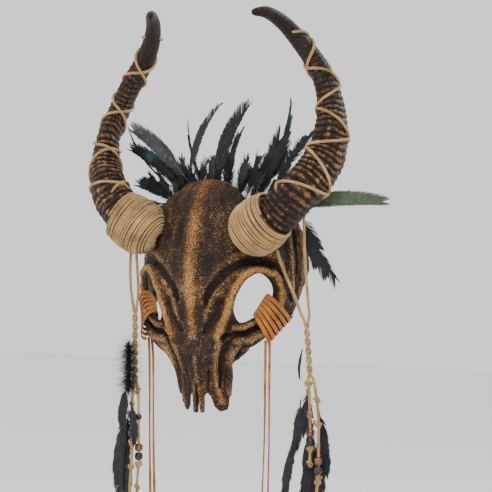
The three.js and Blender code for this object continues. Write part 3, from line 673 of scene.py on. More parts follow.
def skull_field():
    """Distance to the skull's shell over a grid, in mm: below zero is solid."""
    xs, ys, zs = (np.arange(a, b, GRID) for a, b in ((-95, 95.5), (-56, 72), (-185, 76)))
    front, half, depth, square, keel = (v[None, None] for v in section_values(zs))
    x, y = xs[:, None, None], ys[None, :, None]
    deep = np.maximum(front + depth - y - keel * keel_share(x, half) * (y < 40), 0) / depth
    rho = ((np.abs(x) / half) ** square + deep ** square) ** (1 / square) - 1
    slope = np.sqrt(sum(g * g for g in np.gradient(rho, GRID)))
    distance = rho / np.maximum(slope, 0.006)
    near = np.nonzero(np.abs(distance) < 14)
    px, py, pz = xs[near[0]], ys[near[1]], zs[near[2]]
    across, z, relief, slow = skull_map()
    s = across_of(px, py, pz)
    h = looked_up(relief, across, z, s, pz)
    low = looked_up(slow, across, z, s, pz)
    d = distance[near]
    shell = np.maximum(d - h, -(d - low + SHELL))
    ax, from_eye = np.abs(px), np.stack([np.abs(px), py, pz], -1) - EYE_MIDDLE
    ragged = 0.5 * np.sin(pz * 0.9 + 2 * np.sin(pz * 0.33)) * (py > 0)
    outline = -(polygon_distance(py, pz, SIDE_OUTLINE) + ragged)
    eye = polygon_distance(from_eye @ ORBIT_ACROSS, from_eye[:, 2], EYE_LINE)
    eye = np.where(from_eye @ ORBIT_OUT > -40, eye, 30.0)
    nose = polygon_distance(ax, pz, NOSE_HALF)
    crown = polygon_distance(ax, pz, CROWN_HALF) + 0.4 * np.sin(px * 0.41)
    for cut, rounding in ((outline, 2.5), (eye, 3.0), (nose, 1.6), (crown, 2.0)):
        shell = -smooth_min(-shell, cut, rounding)
    field = np.full(distance.shape, FIELD_REACH)
    field[near] = shell
    return field, (xs, ys, zs)


def skull_mesh():
    return surface_of(*skull_field(), GRID)


def largest_part(vertices, quads):
    """Only the largest connected part of a mesh."""
    label = np.arange(len(vertices))
    while True:
        low = label[quads].min(1)
        found = label.copy()
        for k in range(4):
            np.minimum.at(found, quads[:, k], low)
        found = found[found]
        if (found == label).all():
            break
        label = found
    keep = label == np.bincount(label).argmax()
    renumber = np.cumsum(keep) - 1
    return vertices[keep], renumber[quads[keep[quads[:, 0]]]]


# ---- the horns ------------------------------------------------------------------------------
# Centre line of the wearer's left horn in mm, root to tip, with its larger and smaller radius.
HORN_LINE = [(60, -26.5, 13), (66.5, -28.5, 17), (73, -29.5, 21), (94, -25, 35), (112, -20, 53.5),
             (127, -6, 75), (134.5, 6, 96), (136, 14.5, 118), (131.5, 25, 141), (123.6, 31.5, 164),
             (113, 35.5, 185), (101, 34.5, 203), (89, 27, 221), (79, 14, 236), (70, -5, 245.5),
             (61.5, -22, 245)]
HORN_WIDE = [19, 22, 23.5, 22.2, 22, 23.6, 23, 20.6, 17.8, 14.6, 11.8, 10.8, 9.6, 8.4, 6.6, 3.6]
HORN_NARROW = [19, 22, 23.5, 22.2, 20.6, 17.4, 14.2, 12, 11.3, 11.2, 11.2, 10.4, 9.4, 8, 6.4, 3.4]
WRAP_MIDDLE = np.array([73, -30, 21.0])
WRAP_AXIS = np.array([0.82, -0.1, 0.52])
WRAP_TURNS = 23
WOUND_TWINE = 2.7


def values_along(path, points, values):
    """A value at each point of a path, from values given at some points near it."""
    runs = runs_of(path)
    at = [runs[np.argmin(np.linalg.norm(path - p, axis=1))] for p in np.asarray(points, float)]
    return np.interp(runs, at, values)


def mirrored(vertices, faces, side):
    if side > 0:
        return vertices, faces
    return vertices * np.array([-1, 1, 1]), [np.asarray(f)[:, ::-1] for f in faces]


def horn_path(step):
    path = smooth_path(HORN_LINE, step)
    return path, values_along(path, HORN_LINE, HORN_WIDE), values_along(path, HORN_LINE, HORN_NARROW)


def horn_axes(path):
    """The long and short way of the horn's oval section at each point."""
    _, side, out = path_frames(path, (0, -1, 0))
    return (side + out) / math.sqrt(2), (out - side) / math.sqrt(2)


HORN_AROUND = 72


def horn_mesh(seed):
    """Ridged rings that grow out of a knobbly, fibrous base and fade to a smooth tip."""
    around = HORN_AROUND
    path, wide, narrow = horn_path(0.85)
    runs = runs_of(path)
    share = runs / runs[-1]
    rows = len(path)
    angle = 2 * np.pi * np.arange(around) / around
    slow = soft_noise((rows, around + 12), (60, 12), seed)[:, :around]
    wrap = np.minimum(np.arange(around), around - np.arange(around)) / 12
    slow = slow * np.minimum(wrap, 1)
    phase = runs[:, None] / 6.6 + 0.55 * slow + 0.35 * np.sin(angle[None] + 0.8)
    phase += 0.35 * soft_noise((rows, 3), (26, 4), seed + 1)[:, :1]
    wave = np.abs(np.sin(np.pi * phase)) ** 0.65
    ridged = np.interp(share, [0, 0.1, 0.3, 0.55, 0.7, 0.8, 1], [0.7, 1.2, 1.7, 1.2, 0.5, 0.12, 0.0])
    knob = soft_noise((rows, around), (7, 3.2), seed + 2)
    knob += 0.7 * soft_noise((rows, around), (3.4, 2.1), seed + 3)
    fibre = soft_noise((rows, around), (22, 1.4), seed + 4)
    knobby = np.interp(share, [0, 0.22, 0.42, 0.7, 1], [0.8, 0.65, 0.4, 0.2, 0.02])
    fibrous = np.interp(share, [0, 0.3, 0.7, 1], [0.5, 0.45, 0.25, 0.04])
    height = 1.15 * ridged[:, None] * (wave - 0.62) + knobby[:, None] * 0.8 * knob + fibrous[:, None] * fibre
    blunt = np.interp(np.arange(rows)[::-1], [0, 1, 2, 4, 7], [0.4, 0.68, 0.82, 0.95, 1])
    long, short = horn_axes(path)
    reach = [((radius[:, None] + height) * blunt[:, None])[..., None] for radius in (wide, narrow)]
    ring = (reach[0] * np.cos(angle - np.pi / 4)[None, :, None] * long[:, None]
            + reach[1] * np.sin(angle - np.pi / 4)[None, :, None] * short[:, None])
    vertices = np.vstack([(path[:, None] + ring).reshape(-1, 3), path[:1], path[-1:]])
    _, faces = swept(path, reach[0][..., 0], around, (0, -1, 0))
    lift = np.concatenate([(height / 2.6 + 0.5).ravel(), [0.5, 0.5]])
    return vertices, faces, {"lift": np.clip(lift, 0, 1)}


def horn_ring(share, angle, lift):
    """A point beside the horn: a share of its length, an angle round it and mm off its surface."""
    path, wide, narrow = horn_path(1.0)
    long, short = horn_axes(path)
    at = np.asarray(share) * (len(path) - 1)

    def pick(rows):
        return np.stack([np.interp(at, np.arange(len(path)), rows[:, k]) for k in range(3)], -1)

    radii = [(np.interp(at, np.arange(len(path)), radius) + lift)[:, None] for radius in (wide, narrow)]
    return (pick(path) + pick(long) * radii[0] * np.cos(angle - np.pi / 4)[:, None]
            + pick(short) * radii[1] * np.sin(angle - np.pi / 4)[:, None])


LASH_FROM, LASH_TO, LASH_TURNS = 0.17, 0.84, 4
LASH_LIFT = 1.3
TUCK_SHARE, TUCK_DEPTH = 0.025, 4.5
LASH_PHASES = {1: 0.4, -1: 2.1}


def lashing_path(turning):
    """One way round the horn for the lashing, with both its ends tucked under the surface."""
    along = np.linspace(0, 1, 260)
    share = LASH_FROM + (LASH_TO - LASH_FROM) * along
    angle = LASH_PHASES[turning] + turning * LASH_TURNS * 2 * np.pi * along
    tucked = np.maximum(1 - np.minimum(along, 1 - along) / TUCK_SHARE, 0)
    return even_path(horn_ring(share, angle, LASH_LIFT - TUCK_DEPTH * tucked), 1.05)


def skull_depth(points):
    """Distance from points to the skull's smooth outer surface, in mm, along its section."""
    front, half, depth, square, keel = section_values(points[:, 2])
    deep = np.maximum(front + depth - points[:, 1] - keel * keel_share(points[:, 0], half), 0) / depth
    wide = np.abs(points[:, 0]) / half
    rho = (wide ** square + deep ** square) ** (1 / square)
    slope = np.hypot((wide / rho) ** (square - 1) / half, (deep / rho) ** (square - 1) / depth)
    return (rho - 1) / np.maximum(slope, 0.006)


def wrap_profile(t):
    """Height along the wrap's axis and radius, at a share of its length from skull to horn."""
    line = smooth_path([(-28, 7, 0), (-24.5, 17, 0), (-18, 24, 0), (-9, 28.4, 0), (2, 29.2, 0), (12, 28.4, 0),
                        (20, 26.6, 0), (24, 25.4, 0)], 0.5)
    at = t * (len(line) - 1)
    return (np.interp(at, np.arange(len(line)), line[:, 0]),
            np.interp(at, np.arange(len(line)), line[:, 1]))


def wrap_mesh(side, seed):
    """Twine wound over the root of a horn: a hidden core, and one long spiral of turns."""
    random = random_of(seed)
    axis = WRAP_AXIS / np.linalg.norm(WRAP_AXIS)
    u = np.cross(axis, [0, 0, 1])
    u /= np.linalg.norm(u)
    v = np.cross(axis, u)
    turns = WRAP_TURNS
    count = turns * 120
    t = np.linspace(0, 1, count)
    turn = 2 * np.pi * turns * t
    lay = np.interp(t * turns, np.arange(turns + 1), random.normal(0, 0.006, turns + 1))
    tilt = np.interp(t * turns, np.arange(turns + 1), random.normal(0, 0.014, turns + 1))
    height, ring = wrap_profile(np.clip(t + lay + tilt * np.sin(turn + 1.3), 0, 1))
    ring = ring + 0.25 * np.interp(t * turns, np.arange(turns + 1), random.normal(0, 1, turns + 1))
    points = (WRAP_MIDDLE + axis * height[:, None]
              + (u * np.cos(turn)[:, None] + v * np.sin(turn)[:, None]) * ring[:, None])
    path = even_path(points, 1.0)
    shown = skull_depth(path) > 0.4
    parts, start = [], None
    for k in range(len(path) + 1):
        inside = k < len(path) and shown[k]
        if inside and start is None:
            start = k
        elif not inside and start is not None:
            if k - start > 6:
                parts.append(twine_tube(path[start:k], WOUND_TWINE, seed + k, 10, 2.6, 0.06))
            start = None
    parts.append(wrap_core())
    parts.append(hairs(path[shown], WOUND_TWINE, seed + 9, 0.22, 3.4, width=0.11))
    vertices, faces, attributes = joined(parts)
    return *mirrored(vertices, faces, side), attributes


CORE_GRID = 1.5


def wrap_core():
    """The ball under the turns, cut to the skull."""
    axes = [np.arange(c - 33, c + 33, CORE_GRID) for c in WRAP_MIDDLE]
    points = grid_points(axes)
    axis = WRAP_AXIS / np.linalg.norm(WRAP_AXIS)
    high = (points - WRAP_MIDDLE) @ axis
    off = np.linalg.norm(points - WRAP_MIDDLE - high[:, None] * axis, axis=1)
    height, ring = wrap_profile(np.linspace(0, 1, 60))
    body = np.maximum(off - np.interp(high, height, ring) + 1.3, np.abs(high + 2.5) - 23)
    found, quads = surface_of(np.maximum(body, 0.6 - skull_depth(points)), axes, CORE_GRID)
    # deep gives the core heavy painted shade, where it shows between the turns.
    return found, [quads], {"deep": np.full(len(found), 0.85)}


# ---- suede ----------------------------------------------------------------------------------
def flat_lace(path, width, thickness, wide, seed):
    """A flat lace with rounded edges: wide holds, at each point, the way its width lies."""
    random = random_of(seed)
    along, _, _ = path_frames(path)
    wide = wide - np.sum(wide * along, 1)[:, None] * along
    wide /= np.linalg.norm(wide, axis=1)[:, None]
    thick = np.cross(along, wide)
    angle = 2 * np.pi * np.arange(12) / 12
    across = np.sign(np.cos(angle)) * np.abs(np.cos(angle)) ** 0.55
    up = np.sign(np.sin(angle)) * np.abs(np.sin(angle)) ** 0.8
    rough = 1 + 0.05 * soft_noise((len(path), 12), (6, 3), seed)
    edge = np.interp(np.arange(len(path)), np.linspace(0, len(path), 30), random.normal(1, 0.05, 30))
    offset = (wide[:, None] * (across * width / 2)[None, :, None] * (edge[:, None, None])
              + thick[:, None] * (up * thickness / 2)[None, :, None]) * rough[..., None]
    vertices = np.vstack([(path[:, None] + offset).reshape(-1, 3), path[:1], path[-1:]])
    _, faces = swept(path, np.ones((len(path), 12)), 12)
    faces = [np.asarray(f)[:, ::-1] for f in faces]
    border = np.tile(np.abs(across), len(path))
    return vertices, faces, {"edge": np.concatenate([border, [1, 1]])}


ARCH_FROM = {"middle": (67.8, -13.3, -87.5), "reach": (7.5, 4.7, -15), "out": (5.7, -7, -1.4)}
ARCH_TO = {"middle": (80.8, 4.7, -63), "reach": (6, 18, -14), "out": (7.2, -5.4, 0.9)}
ARCH_TURNS = 6
ARCH_SQUARENESS = 0.8
ARCH_GROWTH = 0.95


def squared(value):
    """A sine or cosine pushed toward a squarer wave."""
    return np.sign(value) * np.abs(value) ** ARCH_SQUARENESS


def arch_path():
    """The winding of the lace round a cheek arch."""
    t = np.linspace(0, 1, 700)[:, None]
    mixed = {k: np.array(ARCH_FROM[k]) * (1 - t) + np.array(ARCH_TO[k]) * t for k in ARCH_FROM}
    turn = ARCH_TURNS * 2 * np.pi * t
    points = (mixed["middle"] + mixed["reach"] * squared(np.cos(turn)) * ARCH_GROWTH
              + mixed["out"] * squared(np.sin(turn)) * ARCH_GROWTH)
    return even_path(points, 0.9)


def arch_lacing(side, seed):
    path = arch_path()
    wide = np.tile(np.array(ARCH_TO["middle"]) - np.array(ARCH_FROM["middle"]), (len(path), 1))
    lace = flat_lace(path, 4.6, 1.5, wide, seed)
    return *mirrored(*lace[:2], side), lace[2]


# ---- feathers -------------------------------------------------------------------------------
BARBS_PER_MM = 1.3
BARB_SLANT = 38


def feather_axes(base, tip, lean):
    """A feather's length, and the ways along it, across its vane and out of it."""
    length = np.linalg.norm(tip - base)
    along = (tip - base) / length
    across = np.cross(along, (0, -1, 0))
    across /= np.linalg.norm(across)
    face = np.cross(across, along)
    across, face = (across * math.cos(lean) + face * math.sin(lean),
                    face * math.cos(lean) - across * math.sin(lean))
    return length, along, across, face


def feather_barbs(line, axes, side, width, pointed, gaps, down, seed, random):
    """The barbs on one side of a rachis, downy near its base."""
    length, along, across, face = axes
    count = int(length * BARBS_PER_MM)
    at = np.sort(np.clip(np.linspace(0.12, 0.985, count) + random.normal(0, 0.002, count), 0.1, 0.99))
    half = width / 2 * np.clip(np.sin(np.pi * np.clip(at, 0, 1) ** 0.8) ** pointed, 0.08, 1)
    split = soft_noise((count, 1), (random.uniform(5, 9), 1), seed)[:, 0]
    half *= 1 - gaps * np.maximum(split, 0) * 2 + 0.05 * random.normal(0, 1, count)
    fluffy = np.clip((down - at) / max(down, 0.01), 0, 1)
    slant = np.radians(BARB_SLANT + 60 * gaps * split + 30 * fluffy * random.uniform(-1, 1, count))
    slant = slant * (1 - 0.55 * at ** 4)
    t = np.linspace(0, 1, len(line))
    root = np.stack([np.interp(at, t, line[:, k]) for k in range(3)], 1)
    go = across * side * np.sin(slant)[:, None] + along * np.cos(slant)[:, None]
    go = unit(go + face * (0.10 + 0.5 * fluffy * random.normal(0, 1, count))[:, None])
    reach = half / np.maximum(np.sin(slant), 0.25)
    steps = np.linspace(0, 1, 5)[None, :, None]
    curl = along * 0.28 - face * 0.22
    barb = (root[:, None] + go[:, None] * steps * reach[:, None, None]
            + curl * steps ** 2 * (reach * 0.5)[:, None, None])
    thick = length / count * 2.0 * np.maximum(np.sin(slant), 0.35) * (1 - 0.7 * fluffy)
    wide = thick[:, None, None] * (1 - 0.75 * steps ** 4)
    vertices, quads = ribbons(barb, unit(np.cross(go, face)), wide / 2)
    return vertices, [quads], {"along": np.repeat(at, 10),
                               "vane": np.tile(np.repeat(1 - 0.5 * steps.ravel(), 2), count)}


def feather_mesh(base, tip, width, seed, bow=0.10, lean=0.0, pointed=0.5, gaps=0.12, down=0.25,
                 shaft=1.0):
    """A rachis with its own barbs either side; lengths in mm."""
    random = random_of(seed)
    base, tip = np.asarray(base, float), np.asarray(tip, float)
    axes = feather_axes(base, tip, lean)
    length, along, across, face = axes
    t = np.linspace(0, 1, 60)
    arc = 4 * t * (1 - t)
    line = base + along * (length * t)[:, None] + across * (bow * length * arc)[:, None] \
        + face * (0.04 * length * arc)[:, None]
    radii = np.repeat((np.interp(t, [0, 0.5, 1], [0.8, 0.5, 0.12]) * shaft)[:, None], 6, 1)
    vertices, faces = swept(line, radii, 6, across)
    rachis = (vertices, faces, {"along": np.concatenate([np.repeat(t, 6), [0, 1]]),
                                "vane": np.ones(len(vertices))})
    barbs = [feather_barbs(line, axes, side, width, pointed, gaps, down, seed + side, random)
             for side in (-1, 1)]
    return joined([rachis, *barbs])


def fluff(middle, spread, toward, reach, count, seed, width=0.16):
    """Down: thin bent fibres that spread from a patch, all in mm."""
    random = random_of(seed)
    start = np.asarray(middle, float) + random.uniform(-1, 1, (count, 3)) * np.asarray(spread, float)
    first = unit(np.asarray(toward, float) + random.normal(0, 0.75, (count, 3)))
    drift = random.normal(0, 0.5, (count, 3))
    long = reach * random.uniform(0.35, 1, count)
    steps = np.linspace(0, 1, 5)[None, :, None]
    across = unit(np.cross(first, random.normal(0, 1, (count, 3))))
    lines = bent(start, first, drift, 0.7, long, steps)
    vertices, quads = ribbons(lines, across, width / 2 * (1 - 0.7 * steps))
    return vertices, [quads], {"along": np.full(len(vertices), 0.1), "vane": np.full(len(vertices), 0.4)}


# Name, base, tip, width, bow, lean, how blunt, and how split each feather of the crest is, then how
# far up its down reaches where that isn't the usual share.
CREST = [
    ("crest_pointed", (-33, 9.8, 64), (10, 9.8, 152), 12, -0.10, 0.3, 0.7, 0.08),
    ("crest_grey", (-34, 13.2, 66), (-103, 13.2, 123), 19, 0.10, 0.2, 0.35, 0.03),
    ("crest_broad", (-2, 15, 58), (39, 15, 150), 15, -0.09, -0.3, 0.4, 0.05),
    ("crest_teal", (-44, 17.6, 60), (-108, 17.6, 102), 17, 0.12, 0.3, 0.4, 0.05),
    ("crest_middle", (8, 19.2, 56), (31, 19.2, 126), 13, -0.06, 0.5, 0.6, 0.2),
    ("crest_quill_long", (-60, 21, 62), (-116, 21, 130), 6, -0.08, 0.6, 0.8, 0.3),
    ("crest_curled", (46, 22.4, 58), (84, 22.4, 158), 9, 0.09, -0.4, 0.8, 0.3),
    ("crest_quill_short", (-20, 23.8, 60), (-41, 23.8, 138), 6, -0.05, 0.4, 0.9, 0.3),
    ("crest_silver", (-20, 26.5, 60), (-74, 26.5, 84), 14, 0.10, 0.2, 0.4, 0.05),
    ("crest_forked", (60, 29, 54), (110, 29, 121), 14, -0.06, -0.3, 0.5, 0.3),
    ("crest_low", (-58, 31, 48), (-106, 31, 64), 17, 0.10, 0.2, 0.4, 0.08),
    ("crest_dark", (40, 31.5, 54), (66, 31.5, 112), 26, 0.05, -0.2, 0.4, 0.1),
    ("temple_green_left", (72, 40, 44), (160, 92, 46), 17, -0.04, 0.2, 0.35, 0.02, 0.12),
    ("temple_dark_right", (-72, 41, 44), (-165, 61, 29), 14, 0.05, 0.2, 0.6, 0.1),
    ("temple_drooping_left", (86, 50, 36), (112, 76, -36), 20, 0.10, 0.3, 0.5, 0.2),
    ("temple_drooping_right", (-86, 50, 36), (-112, 76, -36), 20, -0.10, 0.3, 0.5, 0.2),
]
TASSEL_FEATHERS = [
    ("long_feather_right", "tassel_right", (-88.5, -24.5, -172), (-95, -24.5, -290), 16, 0.05),
    ("short_feather_left", "tassel_left", (112.5, 4.6, -150), (111, 4.6, -196), 16, -0.05),
    ("long_feather_left", "tassel_left", (113.5, -9.5, -186), (97, -9.5, -292), 11, 0.06),
    ("dark_feather_left", "tassel_left", (124.6, 8.6, -198), (127, 8.6, -288), 22, 0.03),
]


# ---- more materials -------------------------------------------------------------------------
def skull_look():
    look = Look("skull_bronze", Metallic=0.2, Specular_IOR_Level=0.28)
    grain = look.noise(720, 2.5, 0.65, 0.9)
    pits = look.cells(900)
    patch = look.noise(30, 3, 0.55)
    lift, gild = look.attribute("lift"), look.attribute("gild")
    speckle = look.plus(look.times(grain, 0.75), look.times(pits, 0.30))
    tone = look.plus(speckle, look.times(look.less(lift, 0.55), 0.30))
    tone = look.plus(tone, look.times(look.less(patch, 0.5), 0.30))
    crackle = look.ramp(look.cells(560, "DISTANCE_TO_EDGE"), [(0.0, (0, 0, 0)), (0.14, (1, 1, 1))])
    tone = look.plus(tone, look.times(look.less(crackle, 0.88), 0.16))
    base = look.ramp(tone, [(0.43, (0.004, 0.002, 0.001)), (0.53, (0.016, 0.007, 0.003)),
                            (0.60, (0.055, 0.024, 0.009)), (0.67, (0.19, 0.088, 0.030)),
                            (0.80, (0.44, 0.26, 0.105))])
    gold = look.ramp(tone, [(0.38, (0.010, 0.004, 0.001)), (0.50, (0.09, 0.032, 0.007)),
                            (0.61, (0.28, 0.112, 0.024)), (0.79, (0.58, 0.32, 0.11))])
    look.color(look.mix(look.times(gild, 0.8), base, gold))
    look.rough(grain, 0.42, 0.72)
    return look.bump(look.plus(grain, look.times(pits, 0.5)), 0.0016, 1.0).material


def horn_look():
    look = Look("horn_bronze", Metallic=0.3, Specular_IOR_Level=0.28)
    grain = look.noise(540, 4, 0.62, 1.0)
    cracks = look.ramp(look.cells(260, "DISTANCE_TO_EDGE"), [(0.0, (0, 0, 0)), (0.16, (1, 1, 1))])
    streak = look.noise(90, 3, 0.6, 1.2)
    lift = look.attribute("lift")
    tone = look.plus(look.times(lift, 0.55), look.times(grain, 0.36))
    tone = look.plus(tone, look.times(streak, 0.16))
    tone = look.plus(tone, look.times(look.less(cracks, 1.0), 0.10))
    look.color(look.ramp(tone, [(0.42, (0.003, 0.0015, 0.001)), (0.55, (0.014, 0.006, 0.003)),
                                (0.65, (0.070, 0.030, 0.010)), (0.76, (0.21, 0.105, 0.034)),
                                (0.92, (0.50, 0.31, 0.125))]))
    look.rough(grain, 0.40, 0.72)
    return look.bump(look.plus(grain, look.times(cracks, 0.5)), 0.0011, 0.9).material


def suede_look():
    look = Look("suede", Roughness=0.85, Specular_IOR_Level=0.2)
    look.shader.inputs["Sheen Weight"].default_value = 0.08
    nap = look.noise(900, 3, 0.7)
    patch = look.noise(70, 2)
    tone = look.plus(look.times(nap, 0.45), look.times(patch, 0.55))
    body = look.ramp(tone, [(0.34, (0.11, 0.035, 0.006)), (0.5, (0.24, 0.083, 0.014)),
                            (0.66, (0.38, 0.150, 0.032))])
    cut = look.ramp(look.attribute("edge"), [(0.86, (1, 1, 1)), (1.0, (0.62, 0.52, 0.46))])
    look.color(look.mix(1.0, body, cut, "MULTIPLY"))
    return look.bump(nap, 0.0003, 0.6).material


def feather_look(name, deep, pale, sheen):
    look = Look(name, Roughness=0.55, Specular_IOR_Level=0.22)
    streak = look.noise(240, 3, 0.6, 0.6)
    along, vane = look.attribute("along"), look.attribute("vane")
    tone = look.plus(look.times(streak, 0.7), look.times(vane, 0.25))
    body = look.ramp(tone, [(0.38, deep), (0.62, tuple(2.2 * c for c in deep)), (0.78, pale)])
    tint = look.ramp(look.noise(38, 2), [(0.50, (0, 0, 0)), (0.66, (1, 1, 1))])
    share = look.times(tint, look.times(along, 0.7))
    look.color(look.mix(share, body, sheen))
    look.rough(streak, 0.42, 0.72)
    return look.material


def metal_look(name, dark, bright):
    look = Look(name, Metallic=1.0)
    worn = look.noise(700, 4, 0.65, 0.5)
    look.color(look.ramp(worn, [(0.36, dark), (0.52, tuple((a + b) / 2 for a, b in zip(dark, bright))),
                                (0.70, bright)]))
    look.rough(worn, 0.16, 0.42)
    return look.bump(worn, 0.0002, 0.5).material


def cloth_look(name, dark, bright, x, y, z):
    look = Look(name, Roughness=0.92, Specular_IOR_Level=0.15)
    look.shader.inputs["Sheen Weight"].default_value = 0.2
    weave = look.noise(1.0, 3, 0.6, at=look.stretched(x, y, z))
    look.color(look.ramp(weave, [(0.35, dark), (0.65, bright)]))
    return look.bump(weave, 0.0004, 0.8).material


# Name, deep colour, pale edge and sheen of each kind of feather.
FEATHER_KINDS = {
    "feather": ("feather_black", (0.004, 0.004, 0.005), (0.045, 0.045, 0.05), (0.009, 0.026, 0.030)),
    "grey": ("feather_grey", (0.014, 0.014, 0.016), (0.16, 0.16, 0.165), (0.05, 0.06, 0.07)),
    "green": ("feather_green", (0.018, 0.028, 0.014), (0.10, 0.10, 0.055), (0.05, 0.085, 0.045)),
    "teal": ("feather_teal", (0.004, 0.004, 0.005), (0.04, 0.06, 0.062), (0.02, 0.10, 0.105)),
}
# Name, dark and bright colours of each metal.
METALS = {
    "copper": ("bead_copper", (0.05, 0.018, 0.010), (0.34, 0.165, 0.10)),
    "gunmetal": ("bead_gunmetal", (0.008, 0.009, 0.011), (0.09, 0.095, 0.105)),
    "fitting": ("dark_bronze", (0.020, 0.015, 0.011), (0.085, 0.062, 0.042)),
}
# Name, dark and bright colours of each cloth, and how fine its weave is each way.
CLOTHS = {
    "felt": ("black_felt", (0.006, 0.006, 0.006), (0.022, 0.02, 0.02), 1500, 1500, 1500),
    "elastic": ("woven_elastic", (0.006, 0.006, 0.007), (0.03, 0.03, 0.032), 500, 500, 2600),
    "foam": ("pad_cloth", (0.010, 0.009, 0.008), (0.04, 0.036, 0.032), 1900, 1900, 1900),
}


def make_looks():
    return {
        "skull": skull_look(), "horn": horn_look(), "jute": jute_look(), "suede": suede_look(),
        **{key: feather_look(*kind) for key, kind in FEATHER_KINDS.items()},
        **{key: metal_look(*kind) for key, kind in METALS.items()},
        **{key: cloth_look(*kind) for key, kind in CLOTHS.items()},
    }


# ---- hanging twines, laces and what is on them ----------------------------------------------
def dressed(made, look, node=None):
    """A piece with its material, and the CAD node that it stands for, if any."""
    made.data.materials.append(look)
    if node:
        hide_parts(node)
    return made


STRAND_APART = 1.8
TWIST_PITCH = 18.7
TWIST_STEP = 2.8
TWINE = 3.2


def twisted(place, top, low, phase):
    """The points of one strand where two are twisted round each other, between two heights."""
    count = round((top - low) / TWIST_STEP)
    points = []
    for k in range(count + 1):
        z = top + (low - top) * k / count
        angle = phase + 2 * math.pi * (top - z) / TWIST_PITCH
        x, y = place(z)
        points.append((x + STRAND_APART * math.cos(angle), y + STRAND_APART * math.sin(angle), z))
    return points


def right_rope(_):
    """Where the right tassel's twist is at a height: it hangs straight down."""
    return -79.5, -25


def left_rope(z):
    """Where the left tassel's twist is at a height: it leans a little outward."""
    return 116 + (-86 - z) * 0.075, -2.2


# Name, body, length in metres, and points of each twine from where it leaves the mask, in mm.
TWINES = [
    ("twine_right_outer", "tassel_right", 0.296, [
        (-83.5, -26.5, -7), (-84, -26.5, -14), (-84.5, -26.5, -28), (-84, -26, -46), (-82.5, -25.5, -60),
        *twisted(right_rope, -68, -146, math.pi), (-80.5, -28, -160), (-81, -29, -172), (-81, -29, -183),
        (-81, -29, -204), (-81.5, -28.5, -216), (-82, -28, -232), (-84, -27.5, -250), (-85, -27.5, -270),
        (-85, -27.5, -293)]),
    ("twine_right_inner", "tassel_right", 0.292, [
        (-78.5, -24, -7), (-78, -24, -14), (-77, -24, -28), (-76, -24, -46), (-76.5, -24.5, -60),
        *twisted(right_rope, -68, -146, 0), (-77.4, -22, -160), (-77.4, -21, -172), (-77.4, -21, -184),
        (-77.4, -21, -204), (-77.4, -21, -218), (-77.4, -21, -232), (-78, -21.5, -244), (-79, -22, -258),
        (-79.4, -22, -272), (-79.4, -22, -292)]),
    ("twine_left_slack", "tassel_left", 0.240, [
        (88, -16, -4), (91.4, -14.5, -17), (98, -12, -34), (106.5, -8.5, -56), (110.5, -5.5, -70),
        *twisted(left_rope, -80, -136, math.pi), (117.5, -1.8, -142), (118.5, -1.5, -154),
        (119, -1.5, -170), (119.5, -1.5, -194), (119.5, -1.5, -204), (119.5, -1.5, -214),
        (119, -1.5, -228)]),
    ("twine_left_long", "tassel_left", 0.336, [
        (113, -4, 34), (113.5, -4, 18), (114, -3.8, -4), (115.5, -3.4, -30), (117.5, -2.8, -56),
        (118.8, -2.4, -72), *twisted(left_rope, -80, -136, 0), (124.5, -2.4, -142),
        (126.5, -2.4, -153), (128.5, -2.4, -166), (129.5, -2.4, -186), (129.7, -2.4, -206),
        (129.7, -2.4, -226), (129.7, -2.4, -242), (128, -2.4, -252), (126.5, -2.4, -266),
        (126.5, -2.4, -292)]),
]
# Heights of the knots on each twine, with the size of each.
KNOTS = {
    "twine_right_outer": [(-150, 1.35), (-171, 1.2), (-213, 1.2), (-240, 1.3)],
    "twine_right_inner": [(-158, 1.2), (-237, 1.3), (-262, 1.1)],
    "twine_left_slack": [(-144, 1.3), (-176, 1.25), (-212, 1.2), (-227, 1.3)],
    "twine_left_long": [(-160.5, 1.2), (-186, 1.25), (-244, 1.7)],
}
LACE_WIDTH, LACE_THICKNESS = 2.8, 1.4
LACES = [
    ("lace_left_front", "laces_left", 0.197, [
        (71.4, -10, -99.5), (71.2, -10.2, -116), (71, -10.3, -140), (70.6, -10.3, -180),
        (69.4, -10.3, -220), (67.5, -10.3, -262), (66.5, -10.3, -300)]),
    ("lace_left_rear", "laces_left", 0.193, [
        (75, -8, -100), (75, -7.8, -118), (74.6, -7.7, -140), (74.4, -7.7, -180), (74, -7.7, -220),
        (73, -7.7, -262), (72.5, -7.7, -298)]),
    ("lace_right_front", "laces_right", 0.198, [
        (-71.2, -10, -100), (-70.2, -10.2, -118), (-69.8, -10.3, -140), (-69.8, -10.3, -180),
        (-69.8, -10.3, -220), (-69.4, -10.3, -262), (-69, -10.3, -302)]),
    ("lace_right_rear", "laces_right", 0.191, [
        (-69.4, -7, -100.5), (-67.4, -7.3, -118), (-66.8, -7.6, -140), (-66.8, -7.7, -180),
        (-66.6, -7.7, -220), (-65.8, -7.7, -262), (-65.2, -7.7, -296)]),
]
# Name, twine, radius and place of each bead.
BEADS = [
    ("bead_right_copper", "twine_right_outer", 4.5, (-81, -29, -183)),
    ("bead_right_gunmetal", "twine_right_outer", 4.5, (-81, -29, -203)),
    ("bead_right_small", "twine_right_inner", 3.4, (-77.4, -21, -186)),
    ("bead_right_low_copper", "twine_right_inner", 4.5, (-77.4, -21, -219)),
    ("bead_right_low_gunmetal", "twine_right_inner", 4.5, (-77.4, -21, -228.6)),
    ("bead_left_copper", "twine_left_slack", 4.5, (119.5, -1.5, -194.7)),
    ("bead_left_gunmetal", "twine_left_slack", 4.5, (119.5, -1.5, -204.3)),
    ("bead_left_low_copper", "twine_left_long", 4.5, (129.7, -2.4, -224)),
    ("bead_left_low_gunmetal", "twine_left_long", 4.5, (129.7, -2.4, -233.6)),
]


